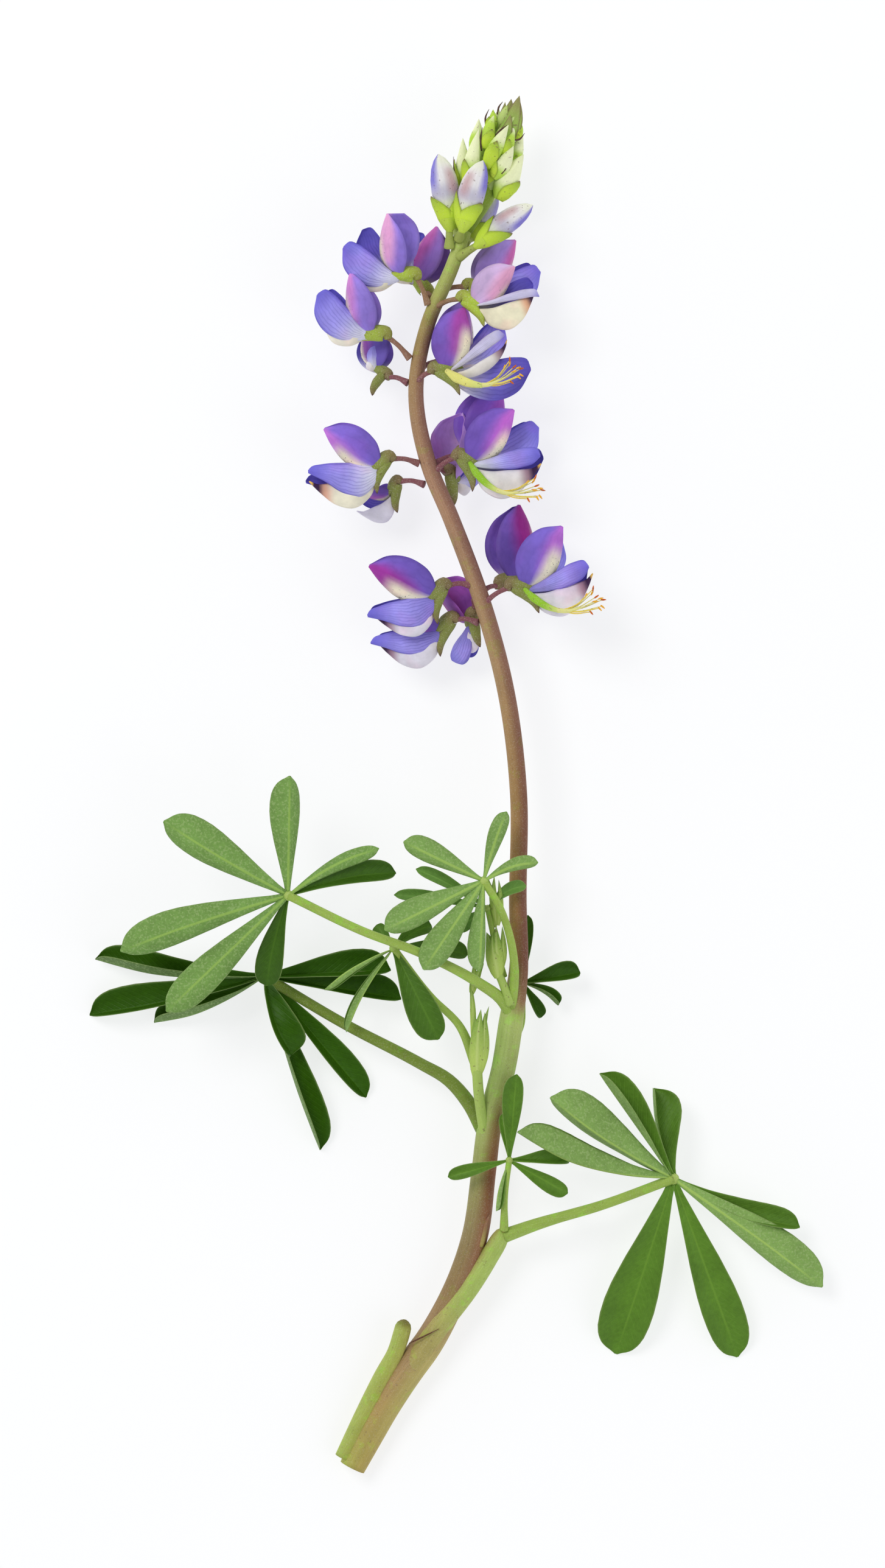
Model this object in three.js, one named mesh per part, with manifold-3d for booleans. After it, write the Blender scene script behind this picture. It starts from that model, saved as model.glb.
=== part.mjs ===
// Lupin flowering stem, cut and laid down: stem, palmate leaves, side shoots, buds and open flowers.
// Millimetres. +Y runs from the cut end to the tip, +X to the right, +Z up from the surface.
import * as THREE from "three";
import { mergeVertices } from "three/addons/utils/BufferGeometryUtils.js";
import Module from "manifold-3d";

const wasm = await Module();
wasm.setup();

const GAP = 0.3; // clearance left between neighbouring pieces
const LEAF_THICKNESS = 0.6;
const PETAL_THICKNESS = 0.55;
const CALYX_THICKNESS = 0.6;
const PEDICEL_RADIUS = 0.6;
const TUBE_SIDES = 5;
const STEM_SIDES = 10;
const BUD_SIDES = 6;
const WELD = 1e-3; // vertices closer than this are one vertex
const DETAIL = 0.08; // smallest bump a joined solid keeps

// Colours as the plant shows them.
const LOOK = {
  stem: { color: 0x8a7a4e, roughness: 0.6 },
  leaf: { color: 0x4f8a3c, roughness: 0.65 },
  shoot: { color: 0x7fae4a, roughness: 0.65 },
  calyx: { color: 0x9fb24e, roughness: 0.65 },
  petal: { color: 0x7a6cc8, roughness: 0.5 },
  bud: { color: 0xc9d59a, roughness: 0.6 },
};

const V = (x, y, z) => new THREE.Vector3(x, y, z);
const radians = THREE.MathUtils.degToRad;

// ---- Solids ------------------------------------------------------------------------------------

// A closed manifold solid lofted through rings of equal length, with a point at each end.
function loft(rings, startPoint, endPoint) {
  const count = rings[0].length;
  const points = [startPoint, ...rings.flat(), endPoint];
  const last = points.length - 1;
  const at = (ring, i) => 1 + ring * count + (i % count);
  const faces = [];
  for (let i = 0; i < count; i++) {
    faces.push(0, at(0, i + 1), at(0, i));
    faces.push(last, at(rings.length - 1, i), at(rings.length - 1, i + 1));
    for (let r = 0; r + 1 < rings.length; r++) {
      faces.push(at(r, i), at(r, i + 1), at(r + 1, i));
      faces.push(at(r, i + 1), at(r + 1, i + 1), at(r + 1, i));
    }
  }
  const vertProperties = new Float32Array(points.flatMap((p) => p.toArray()));
  const mesh = new wasm.Mesh({ numProp: 3, vertProperties, triVerts: new Uint32Array(faces) });
  return new wasm.Manifold(mesh);
}

// Position, tangent and two cross directions at evenly spaced stations of a curve.
// The first cross direction, n, stays as close as it can to `facing`.
function stations(points, count, facing) {
  const curve = new THREE.CatmullRomCurve3(points, false, "centripetal");
  return Array.from({ length: count + 1 }, (_, i) => {
    const t = i / count;
    const p = curve.getPoint(t);
    const tangent = curve.getTangent(t);
    const b = new THREE.Vector3().crossVectors(facing, tangent).normalize();
    const n = new THREE.Vector3().crossVectors(tangent, b);
    return { t, p, tangent, n, b };
  });
}

// A round rod along a curve; `radii` are spread evenly along it.
function rod(points, radii, count, sides, grow = 0) {
  const chord = points[points.length - 1].clone().sub(points[0]).normalize();
  const facing = Math.abs(chord.z) > 0.8 ? V(1, 0, 0) : V(0, 0, 1);
  const rows = stations(points, count, facing);
  const rings = rows.map(({ t, p, n, b }) => {
    const r = sample(radii, t) + grow;
    return Array.from({ length: sides }, (_, k) => {
      const a = (-2 * Math.PI * k) / sides;
      return p.clone().addScaledVector(n, r * Math.cos(a)).addScaledVector(b, r * Math.sin(a));
    });
  });
  return loft(rings, rows[0].p, rows[rows.length - 1].p);
}

// Linear look-up in a list of values spread evenly over 0..1.
function sample(values, t) {
  const x = t * (values.length - 1);
  const i = Math.min(Math.floor(x), values.length - 2);
  return values[i] + (values[i + 1] - values[i]) * (x - i);
}

// A thin closed blade along a curve: `facing` is the side it shows, `half` its largest half-width,
// `shape` the share of that along it, `fold` how far each half is raised towards that side in degrees.
function blade({ points, facing, half, shape, fold = 0, count = 5, thickness, grow = 0 }) {
  const rows = stations(points, count, facing);
  const rings = rows.slice(1, -1).map(({ t, p, n, b }) => {
    const w = half * sample(shape, t) + grow;
    const up = w * Math.sin(radians(fold));
    const out = w * Math.cos(radians(fold));
    const skin = thickness / 2 + grow;
    return [
      p.clone().addScaledVector(n, skin),
      p.clone().addScaledVector(n, up).addScaledVector(b, -out),
      p.clone().addScaledVector(n, -skin),
      p.clone().addScaledVector(n, up).addScaledVector(b, out),
    ];
  });
  const end = rows[rows.length - 1];
  const first = rows[0].p.clone().addScaledVector(rows[0].tangent, -grow);
  const last = end.p.clone().addScaledVector(end.tangent, grow);
  return loft(rings, first, last);
}

// The largest body of a solid: loose scraps and sealed hollows are dropped.
const body = (solid) => solid.decompose().reduce((a, b) => (b.volume() > a.volume() ? b : a));
const join = (solids) => body(solids.reduce((a, b) => a.add(b)).simplify(DETAIL));
const clear = (solid, cutter) => body(solid.subtract(cutter).simplify(DETAIL));

// ---- Stem --------------------------------------------------------------------------------------

// Axis of the stem from the cut end to the tip: x, y, z, radius.
const STEM = [
  [-21.6, -134.6, 3.4, 2.7], [-18.8, -129.7, 3.5, 2.8], [-14.8, -122.2, 3.8, 2.9],
  [-11.3, -116.4, 4.2, 2.9], [-6.0, -110.6, 4.8, 2.8], [-2.6, -104.9, 5.4, 2.6],
  [1.0, -97.2, 6.2, 2.4], [3.0, -89.6, 7.0, 2.3], [5.0, -76.1, 8.4, 2.3],
  [6.4, -66.5, 9.4, 2.3], [9.5, -55.1, 10.6, 2.3], [10.9, -45.5, 11.6, 2.4],
  [12.2, -36.8, 12.3, 1.9], [12.1, -22.3, 13.2, 1.7], [12.2, -0.8, 14.2, 1.7],
  [9.0, 21.0, 14.9, 1.7], [5.8, 33.1, 15.2, 1.7], [-1.4, 53.0, 15.4, 1.6],
  [-5.8, 63.6, 15.4, 1.6], [-8.2, 78.4, 15.2, 1.5], [-5.9, 91.0, 15.0, 1.45],
  [-1.1, 102.4, 14.8, 1.4], [1.6, 109.0, 14.6, 1.2],
];
const SIDE_BRANCH = [
  [-9.6, -116.5, 5.2, 1.7], [-3.0, -108.0, 6.2, 2.0], [2.6, -99.5, 7.0, 2.0],
  [6.4, -93.0, 7.8, 1.9], [9.0, -88.9, 8.4, 1.8],
];
const STUB = [
  [-19.6, -134.0, 4.2, 1.7], [-15.6, -122.0, 5.0, 1.7], [-12.2, -112.5, 6.2, 1.7],
  [-10.4, -105.2, 6.8, 1.5],
];

function rodThrough(rows, sides, count, grow) {
  const points = rows.map(([x, y, z]) => V(x, y, z));
  return rod(points, rows.map((row) => row[3]), count, sides, grow);
}

function stemSolid(grow = 0) {
  const axis = rodThrough(STEM, STEM_SIDES, 34, grow);
  const branch = rodThrough(SIDE_BRANCH, 8, 6, grow);
  const stub = rodThrough(STUB, 8, 6, grow);
  return join([axis, branch, stub]);
}

// ---- Leaves ------------------------------------------------------------------------------------

const LEAFLET_SHAPE = [0.2, 0.5, 0.82, 1, 0.85, 0.3];

// Each leaf: petiole from the stem to the hub, with its radius, then its leaflets.
// A leaflet: tip x, y, z, half-width, roll of its upper side from +Z, fold, rise of its middle.
const LEAVES = {
  leaf_a: {
    petiole: [[10.4, -44.4, 12.4], [5.6, -39.6, 16.5], [-7.4, -32.4, 20.5], [-18, -28.4, 22], [-32.8, -21.1, 23]],
    radius: 0.85,
    leaflets: [
      [-32.3, 2.0, 24, 2.6, 180, 8, 1.5], [-57, -6.5, 25, 3.2, 170, 8, 2], [-65.4, -32.3, 21, 3.3, 160, 14, 3],
      [-57.2, -44.3, 19, 3.3, 170, 10, 3], [-37, -38.9, 15, 2.6, 20, 20, 1], [-15.1, -12, 22, 1.9, 150, 20, 1],
      [-11.6, -17, 18.5, 2.0, 40, 25, 1],
    ],
  },
  leaf_b: {
    petiole: [[4.2, -65.6, 8.6], [-1.6, -58.2, 8.2], [-7.1, -54.5, 8], [-22.3, -46.9, 7], [-37, -37.6, 6.5]],
    radius: 1.05,
    leaflets: [
      [-71.6, -34.3, 3, 2.7, 20, 30, 3], [-73, -45.6, 0.9, 2.9, -10, 15, 2], [-60.1, -46.9, 2.5, 2.4, 10, 25, 2],
      [-32.4, -53.2, 4, 2.8, -20, 30, 1], [-26.9, -72.7, 0.9, 2.8, 30, 30, 2], [-17.9, -62, 1.2, 2.7, 20, 15, 1.5],
      [-13.2, -36.5, 6, 2.6, 0, 20, 1], [-11, -43.4, 4, 2.4, -20, 20, 1],
    ],
  },
  leaf_c: {
    petiole: [[11, -43, 13.5], [12.2, -35.4, 16.6], [11, -29.9, 18], [8.6, -23.5, 20.4], [5.4, -18.5, 22]],
    radius: 0.7,
    leaflets: [
      [9.8, -4.9, 23, 1.8, 170, 12, 0.5], [-10.3, -10.7, 24, 2.4, 170, 8, 1], [-14, -28.2, 23, 2.7, 180, 10, 1.5],
      [-6.5, -35.8, 22, 2.6, 190, 8, 1.5], [4.4, -36, 21, 1.7, 190, 14, 1], [16.1, -14.8, 21, 1.5, 200, 15, 0.5],
    ],
  },
  leaf_c2: {
    petiole: [[9.2, -37.4, 13.6], [7.4, -30, 16], [6.2, -24.6, 17.4]],
    radius: 0.55,
    leaflets: [
      [-8, -16.9, 18.5, 1.5, 0, 10, 0.5], [-12.2, -21.4, 17.5, 1.4, 0, 15, 0.5], [3, -14, 16.5, 1.2, 0, 10, 0],
      [0, -28, 15.5, 1.4, 0, 10, 0],
    ],
  },
  leaf_d: {
    petiole: [[3.8, -54.8, 11.4], [0.5, -47, 12.6], [-4.8, -41.6, 13.4], [-12.4, -31.9, 14]],
    radius: 0.7,
    leaflets: [
      [-26, -40.1, 13, 1.5, 120, 40, 1], [-21.6, -48.7, 11.5, 1.4, 80, 40, 1], [-3.2, -49.7, 15.5, 3.9, 0, 8, 1],
      [-15.8, -27.4, 12, 1.2, 0, 20, 0.3], [-5.5, -28.4, 11, 1.7, 0, 20, 0.3], [2.2, -33.8, 9.5, 1.9, 0, 20, 0.5],
    ],
  },
  leaf_e: {
    petiole: [[9.4, -87.6, 9.8], [9.6, -80, 12.6], [10.3, -73.6, 13.6]],
    radius: 0.6,
    leaflets: [
      [12.1, -56.6, 14.5, 2.0, 20, 12, 0.5], [-1.7, -77.3, 13.4, 1.4, 20, 18, 0.8], [7.8, -83.9, 12.6, 1.3, -60, 25, 0.4],
      [22.1, -80.5, 11, 1.8, 0, 12, 0.6], [22.4, -74.2, 9, 1.5, -30, 20, 0.5],
    ],
  },
  leaf_f: {
    petiole: [[9.6, -88.8, 8.6], [15.6, -86.4, 9.4], [29, -82.4, 10], [42.8, -77.6, 9.5]],
    radius: 0.95,
    leaflets: [
      [11.9, -67.7, 17.5, 2.4, 140, 25, 1.5], [18.4, -61, 16.5, 3.1, 160, 12, 2], [28.2, -56.6, 12, 2.6, 60, 35, 1],
      [41.4, -60.1, 5, 3.2, 10, 15, 0.5], [67.7, -88, 6, 2.3, -60, 25, 1], [72.8, -99.4, 6, 3.0, 200, 12, 3],
      [55.7, -112.8, 0.9, 4.6, -10, 8, 2], [31.7, -112, 0.9, 5.0, 10, 8, 2],
    ],
  },
  leaf_g: {
    petiole: [[10.4, -52, 7], [13, -47, 6.4], [13.2, -43, 6.2], [13, -39.1, 6.5]],
    radius: 0.5,
    leaflets: [
      [24.6, -37, 5.5, 1.9, 0, 20, 0.6], [20.3, -43.6, 4.5, 1.5, 0, 20, 0.5], [17.6, -46.7, 3.5, 1.2, 0, 20, 0.3],
      [14.4, -26.0, 6.5, 1.4, 0, 20, 0.3],
    ],
  },
};

function leaflet(hub, [x, y, z, half, roll, fold, rise], grow) {
  const tip = V(x, y, z);
  const chord = tip.clone().sub(hub);
  const length = chord.length();
  chord.normalize();
  const facing = V(0, 0, 1).applyAxisAngle(chord, radians(roll));
  const start = hub.clone().addScaledVector(chord, -0.3);
  const middle = hub.clone().addScaledVector(chord, length * 0.6).add(V(0, 0, rise));
  return blade({
    points: [start, middle, tip], facing, half, shape: LEAFLET_SHAPE, fold, count: 6,
    thickness: LEAF_THICKNESS, grow,
  });
}

function leafSolid({ petiole, radius, leaflets }, grow = 0) {
  const points = petiole.map(([x, y, z]) => V(x, y, z));
  const hub = points[points.length - 1];
  const stalk = rod(points, [radius * 1.25, radius, radius], 8, TUBE_SIDES, grow);
  const knob = wasm.Manifold.sphere(radius + 0.25 + grow, 8).translate(hub.toArray());
  return join([stalk, knob, ...leaflets.map((row) => leaflet(hub, row, grow))]);
}

// ---- Flowers -----------------------------------------------------------------------------------

// The frame of a flower: forward from the stalk, up towards the banner, and across.
function flowerFrame(base, heading, lift, roll) {
  const h = radians(heading);
  const l = radians(lift);
  const forward = V(Math.cos(h) * Math.cos(l), Math.sin(h) * Math.cos(l), Math.sin(l));
  const level = V(0, 1, 0).addScaledVector(forward, -forward.y).normalize();
  const up = level.applyAxisAngle(forward, radians(roll));
  const across = new THREE.Vector3().crossVectors(up, forward);
  const place = (f, u, a) =>
    V(...base).addScaledVector(forward, f).addScaledVector(up, u).addScaledVector(across, a);
  return { forward, up, across, place };
}

const BANNER_SHAPE = [0.2, 0.75, 1, 0.9, 0.5];
const WING_SHAPE = [0.2, 0.6, 1, 0.95, 0.45];
const KEEL_SHAPE = [0.35, 0.9, 1, 0.7, 0.2];
const LIP_SHAPE = [0.6, 1, 0.9, 0.55, 0.15];

// A petal in a flower's frame: `path` rows are forward and up, `side` moves its far end across.
function petal(frame, path, facing, half, shape, fold, side = 0) {
  const points = path.map(([f, u, a = 0], i) => frame.place(f, u, a + (side * i) / (path.length - 1)));
  return blade({ points, facing, half, shape, fold, count: 5, thickness: PETAL_THICKNESS });
}

function corollaSolid({ base, heading, lift, roll, scale, banner, spread }) {
  const frame = flowerFrame(base, heading, lift, roll);
  const s = scale;
  const b = radians(banner);
  const reach = (length, bend) => [Math.cos(b) * length - bend, Math.sin(b) * length + 0.8 * s];
  const bannerPath = [[1.9 * s, 0.6 * s], reach(6 * s, -0.6 * s), reach(12.5 * s, 1.2 * s)];
  const wingPath = [[2.3 * s, 0], [7 * s, 0.6 * s], [13.4 * s, 3.2 * s]];
  const keelPath = [[2.2 * s, -0.6 * s], [6 * s, -2.4 * s], [10 * s, -1.4 * s], [12.2 * s, 1.4 * s]];
  const parts = [
    petal(frame, bannerPath, frame.forward.clone().negate(), 4.6 * s, BANNER_SHAPE, 42),
    ...[-1, 1].map((hand) => {
      const path = wingPath.map(([f, u]) => [f, u, 0.6 * s * hand]);
      const outward = frame.across.clone().multiplyScalar(hand);
      return petal(frame, path, outward, 3.0 * s, WING_SHAPE, -12, spread * s * hand);
    }),
    petal(frame, keelPath, frame.up, 2.0 * s, KEEL_SHAPE, 62),
  ];
  const claw = wasm.Manifold.sphere(0.95 * s, 8).translate(frame.place(2.4 * s, 0, 0).toArray());
  return join([claw, ...parts]);
}

function calyxSolid({ base, heading, lift, roll, scale, root }, grow = 0) {
  const frame = flowerFrame(base, heading, lift, roll);
  const s = scale;
  const lip = (path, facing, half, fold) =>
    blade({
      points: path.map(([f, u]) => frame.place(f * s, u * s, 0)), facing, half: half * s,
      shape: LIP_SHAPE, fold, count: 4, thickness: CALYX_THICKNESS, grow,
    });
  const lower = lip([[-0.8, 0], [2.4, -2.6], [6.6, -3.6]], frame.up, 2.1, 40);
  const upper = lip([[-0.8, 0], [0.6, 1.8], [1.2, 4.4]], frame.forward, 1.6, 30);
  const cup = wasm.Manifold.sphere(1.25 * s + grow, 8).translate(frame.place(0, 0, 0).toArray());
  const start = V(...root);
  const sag = start.clone().lerp(frame.place(0, 0, 0), 0.5).add(V(0, 0.5, 0));
  const radii = [PEDICEL_RADIUS * 1.2, PEDICEL_RADIUS, PEDICEL_RADIUS * 1.3];
  const stalk = rod([start, sag, frame.place(0, 0, 0)], radii, 4, TUBE_SIDES, grow);
  return join([stalk, cup, lower, upper]);
}

// Open flowers: name, where its stalk leaves the stem, where its cup sits, heading in the XY plane,
// lift towards +Z, roll of its banner, size, banner angle, how far the wing tips stand apart.
const FLOWERS = [
  ["w1_left", [-4.4, 95.6, 15], [-10, 99.4, 17], 170, 6, 20, 0.92, 72, 2],
  ["w1_left_back", [-4.2, 96.8, 14], [-7.6, 98.4, 10.6], 118, -22, 10, 0.72, 80, 1.5],
  ["w1_right_back", [-3.8, 97.6, 14.4], [2.6, 98.6, 11.6], 28, -14, 0, 0.8, 75, 1.5],
  ["w1_right", [-5.4, 93.6, 15], [2.6, 94.6, 18], -6, 4, -10, 0.96, 66, 2],
  ["w2_left", [-8.4, 83.8, 15.2], [-13.4, 89, 16.6], 164, 5, 20, 0.95, 74, 2],
  ["w2_left_low", [-9, 79.8, 14.8], [-13.2, 83.4, 12.4], 150, -12, 30, 0.6, 75, 1.5],
  ["w2_right_back", [-7.6, 82.4, 14.4], [-1.6, 87, 9.6], 22, -16, -10, 0.86, 75, 2],
  ["w2_right", [-8, 79.2, 15.4], [-3.4, 84.8, 17.8], 4, 6, -20, 0.98, 78, 2.4],
  ["w3_left", [-7.2, 63.6, 15.4], [-12.6, 64.6, 17], 180, 4, 15, 0.98, 68, 2.2],
  ["w3_left_low", [-6.4, 59.8, 14.8], [-11.4, 59, 12.2], 196, -12, 10, 0.7, 60, 1.6],
  ["w3_back", [-5.4, 63.4, 14], [-1.6, 63.6, 7.9], 76, -8, -60, 0.92, 60, 1.6],
  ["w3_right_back", [-4.8, 63, 14.4], [2.4, 66.4, 11.4], 24, -10, -10, 0.96, 78, 2],
  ["w3_right", [-4.4, 62.4, 15.6], [2.8, 63.2, 18], 2, 4, -15, 0.98, 74, 2.4],
  ["w4_left", [3, 39.8, 15.4], [-1.6, 39.8, 17.4], 184, 4, 18, 0.98, 62, 2.2],
  ["w4_left_low", [4.4, 32.2, 15.2], [-1.6, 33.4, 12.6], 186, -4, 12, 0.94, 40, 2],
  ["w4_back", [3.4, 38, 13.6], [-0.6, 34.6, 7.4], 120, -6, -40, 0.86, 50, 1.6],
  ["w4_right_back", [6.4, 40.8, 14.6], [9.6, 41.6, 10.8], 44, -10, -10, 1.0, 84, 1.6],
  ["w4_right", [7, 38, 15.6], [10.6, 40.2, 18], -2, 4, -20, 0.98, 64, 2.4],
].map(([name, root, base, heading, lift, roll, scale, banner, spread]) => ({
  name, root, base, heading, lift, roll, scale, banner, spread,
}));

// ---- Buds --------------------------------------------------------------------------------------

// Large buds: name, stalk root, cup, heading in the XY plane, lift, length, half-depth.
const BUDS = [
  ["bud_1", [-0.2, 105.4, 15.4], [-2.6, 109.6, 17], 112, 4, 14, 2.9],
  ["bud_2", [0.6, 108.4, 16], [1.6, 110.4, 19.2], 72, 6, 13.2, 2.7],
  ["bud_3", [0.2, 104.4, 15.2], [4.6, 106.2, 18], 34, 4, 11.6, 2.2],
  ["bud_4", [0.2, 106.2, 13.6], [-0.4, 109.4, 9.6], 100, -4, 10.5, 2.4],
  ["bud_5", [1.2, 106.4, 13.6], [5.4, 109, 10.6], 62, -4, 10, 2.3],
];
const BUD_SHAPE = [0.35, 0.85, 1, 0.75, 0.3];

// A bud swells from its base and closes to a point; `flat` is its depth over its width.
function budBody(from, to, half, flat, grow = 0) {
  const middle = from.clone().lerp(to, 0.5);
  const chord = to.clone().sub(from).normalize();
  const facing = Math.abs(chord.z) > 0.8 ? V(1, 0, 0) : V(0, 0, 1);
  const rows = stations([from, middle, to], 5, facing);
  const rings = rows.slice(1, -1).map(({ t, p, n, b }) =>
    Array.from({ length: BUD_SIDES }, (_, k) => {
      const a = (-2 * Math.PI * k) / BUD_SIDES;
      const w = half * sample(BUD_SHAPE, t) + grow;
      return p.clone().addScaledVector(n, w * flat * Math.cos(a)).addScaledVector(b, w * Math.sin(a));
    }),
  );
  return loft(rings, from, to);
}

function budSolid([, root, cup, heading, lift, length, half], grow = 0) {
  const h = radians(heading);
  const l = radians(lift);
  const forward = V(Math.cos(h) * Math.cos(l), Math.sin(h) * Math.cos(l), Math.sin(l));
  const base = V(...cup);
  const tip = base.clone().addScaledVector(forward, length);
  const lipTip = base.clone().addScaledVector(forward, length * 0.42).add(V(forward.y * 1.8, -forward.x * 1.8, 0));
  const body = budBody(base.clone().addScaledVector(forward, -1), tip, half, 0.8, grow);
  const lip = budBody(base.clone().addScaledVector(forward, -1.2), lipTip, half * 0.62, 1, grow);
  const stalk = rod([V(...root), base.clone().addScaledVector(forward, 0.5)], [0.7, 0.8], 2, TUBE_SIDES, grow);
  return join([stalk, body, lip]);
}

// Unopened top of the raceme: its axis, then each bud's place along it, tip x, y, z and half-width.
const SPIKE_AXIS = [[2, 110.2, 14.5], [5, 117, 14.2], [9.4, 127, 13.8], [12, 133, 13.6]];
const SPIKE_BUDS = [
  [0.02, -0.6, 127, 17.5, 2.1], [0.12, 4, 129, 18.5, 1.9], [0.06, 13.2, 124.5, 17, 2.0],
  [0.18, 9, 129.5, 18.6, 1.9], [0.3, 13.6, 130, 15, 1.7], [0.36, 4.4, 133.5, 16, 1.7],
  [0.46, 7.4, 134.6, 17, 1.5], [0.54, 11.6, 133.4, 16.6, 1.5], [0.04, 1, 125, 9.6, 2.0],
  [0.09, 12, 124, 9.4, 2.0], [0.24, 6.4, 129, 9.8, 1.8], [0.42, 12.4, 131, 11, 1.6],
  [0.62, 9.4, 136.6, 15, 1.3], [0.72, 12.8, 137, 14.4, 1.2], [0.82, 12.4, 138.4, 13.4, 1.1],
];

function budSpikeSolid(grow = 0) {
  const points = SPIKE_AXIS.map((p) => V(...p));
  const curve = new THREE.CatmullRomCurve3(points);
  const axis = rod(points, [1.5, 3.6, 3.2, 2.4, 1.4], 6, BUD_SIDES, grow);
  const buds = SPIKE_BUDS.map(([share, x, y, z, half]) =>
    budBody(curve.getPoint(share), V(x, y, z), half, 0.9, grow),
  );
  return join([axis, ...buds]);
}

// ---- Side shoots -------------------------------------------------------------------------------

// A shoot: its stalk and radius, then folded young leaflets and buds as from, to, half-width.
const SHOOTS = {
  shoot_upper: {
    stalk: [[9.4, -40.6, 14.4], [6.6, -36.6, 16.2], [5.6, -31, 15.6]],
    radius: 0.8,
    buds: [
      [5.8, -34, 15.8, 8.8, -22, 16.4, 1.1], [6.2, -36, 15.8, 8.6, -28, 17.4, 1.3],
      [6, -33.6, 15.6, 5, -26.6, 15, 1.2],
    ],
  },
  shoot_lower: {
    stalk: [[4.4, -64.2, 12], [3.4, -58, 13.6], [3.6, -53.4, 14.2]],
    radius: 0.85,
    buds: [
      [3.6, -55.4, 14.2, 2.8, -44, 14.6, 1.5], [3.6, -55.4, 14.2, 5.6, -45.4, 15.2, 1.5],
      [3.4, -55, 14, 3, -37.4, 12.6, 1.1],
    ],
  },
};

function shootSolid({ stalk, radius, buds }, grow = 0) {
  const rodSolid = rod(stalk.map((p) => V(...p)), [radius * 1.1, radius], 4, TUBE_SIDES, grow);
  const tips = buds.map(([x0, y0, z0, x1, y1, z1, half]) =>
    budBody(V(x0, y0, z0), V(x1, y1, z1), half, 0.8, grow),
  );
  return join([rodSolid, ...tips]);
}

// ---- Assembly ----------------------------------------------------------------------------------

// Every piece in the order it is fitted: each one is cleared of all the pieces before it.
const pieces = [{ name: "stem", look: "stem", make: stemSolid }];
for (const [name, leaf] of Object.entries(LEAVES)) {
  pieces.push({ name, look: "leaf", make: (grow) => leafSolid(leaf, grow) });
}
for (const [name, shoot] of Object.entries(SHOOTS)) {
  pieces.push({ name, look: "shoot", make: (grow) => shootSolid(shoot, grow) });
}
pieces.push({ name: "bud_spike", look: "bud", make: budSpikeSolid });
for (const bud of BUDS) {
  pieces.push({ name: bud[0], look: "bud", make: (grow) => budSolid(bud, grow) });
}
for (const flower of FLOWERS) {
  pieces.push({ name: `calyx_${flower.name}`, look: "calyx", make: (grow) => calyxSolid(flower, grow) });
}
for (const flower of FLOWERS) {
  pieces.push({ name: `corolla_${flower.name}`, look: "petal", make: () => corollaSolid(flower) });
}

const overlaps = (a, b) => [0, 1, 2].every((k) => a.min[k] < b.max[k] && b.min[k] < a.max[k]);

function meshOf(solid, name, look) {
  const { vertProperties, numProp, numVert, triVerts } = solid.getMesh();
  const positions = new Float32Array(numVert * 3);
  for (let i = 0; i < numVert; i++) {
    positions.set(vertProperties.subarray(i * numProp, i * numProp + 3), i * 3);
  }
  const geometry = new THREE.BufferGeometry();
  geometry.setAttribute("position", new THREE.BufferAttribute(positions, 3));
  geometry.setIndex(new THREE.BufferAttribute(triVerts, 1));
  const welded = mergeVertices(geometry, WELD);
  welded.computeVertexNormals();
  const material = new THREE.MeshStandardMaterial({ metalness: 0, side: THREE.DoubleSide, ...LOOK[look] });
  const mesh = new THREE.Mesh(welded, material);
  mesh.name = name;
  return mesh;
}

const group = new THREE.Group();
group.name = "lupin";
const fitted = [];
for (const { name, look, make } of pieces) {
  let solid = make(0);
  for (const earlier of fitted) {
    if (overlaps(solid.boundingBox(), earlier.box)) {
      solid = clear(solid, earlier.cutter);
    }
  }
  const cutter = look === "petal" ? solid : make(GAP);
  fitted.push({ cutter, box: cutter.boundingBox() });
  group.add(meshOf(solid, name, look));
}

// The surface it lies on is z = 0 and the middle of its outline is the origin.
const bounds = new THREE.Box3().setFromObject(group);
const middle = bounds.getCenter(new THREE.Vector3());
const shift = V(-middle.x, -middle.y, -bounds.min.z);
for (const mesh of group.children) {
  mesh.geometry.translate(shift.x, shift.y, shift.z);
}

export default group;
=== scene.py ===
"""Lupin flowering stem in Blender: the parts of the CAD model, modelled again with their real surfaces.

All design dimensions are millimetres in the CAD part's own layout; SHIFT carries them into the frame.
"""
import math

import bpy
import numpy as np
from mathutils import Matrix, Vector


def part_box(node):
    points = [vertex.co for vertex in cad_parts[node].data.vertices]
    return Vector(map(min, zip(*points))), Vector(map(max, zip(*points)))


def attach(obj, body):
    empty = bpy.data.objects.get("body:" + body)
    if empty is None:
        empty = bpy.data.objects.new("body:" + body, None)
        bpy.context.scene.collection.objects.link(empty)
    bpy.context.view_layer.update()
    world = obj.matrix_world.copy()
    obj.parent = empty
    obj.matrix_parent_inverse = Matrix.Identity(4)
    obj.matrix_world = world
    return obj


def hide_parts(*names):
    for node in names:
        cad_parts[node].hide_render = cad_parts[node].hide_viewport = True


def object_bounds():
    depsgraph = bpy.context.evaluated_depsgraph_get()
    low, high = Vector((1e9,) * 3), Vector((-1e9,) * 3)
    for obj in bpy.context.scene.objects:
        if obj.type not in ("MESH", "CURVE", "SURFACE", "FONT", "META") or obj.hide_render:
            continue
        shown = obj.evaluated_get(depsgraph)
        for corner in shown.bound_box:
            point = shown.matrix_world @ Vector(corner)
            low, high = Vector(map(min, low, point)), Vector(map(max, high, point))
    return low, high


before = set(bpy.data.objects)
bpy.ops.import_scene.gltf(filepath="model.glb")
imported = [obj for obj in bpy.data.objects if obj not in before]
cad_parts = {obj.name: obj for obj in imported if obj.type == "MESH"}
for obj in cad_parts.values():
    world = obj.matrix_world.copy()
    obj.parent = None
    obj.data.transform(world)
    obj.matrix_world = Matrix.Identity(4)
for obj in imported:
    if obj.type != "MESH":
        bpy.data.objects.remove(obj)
start_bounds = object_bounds()

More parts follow.
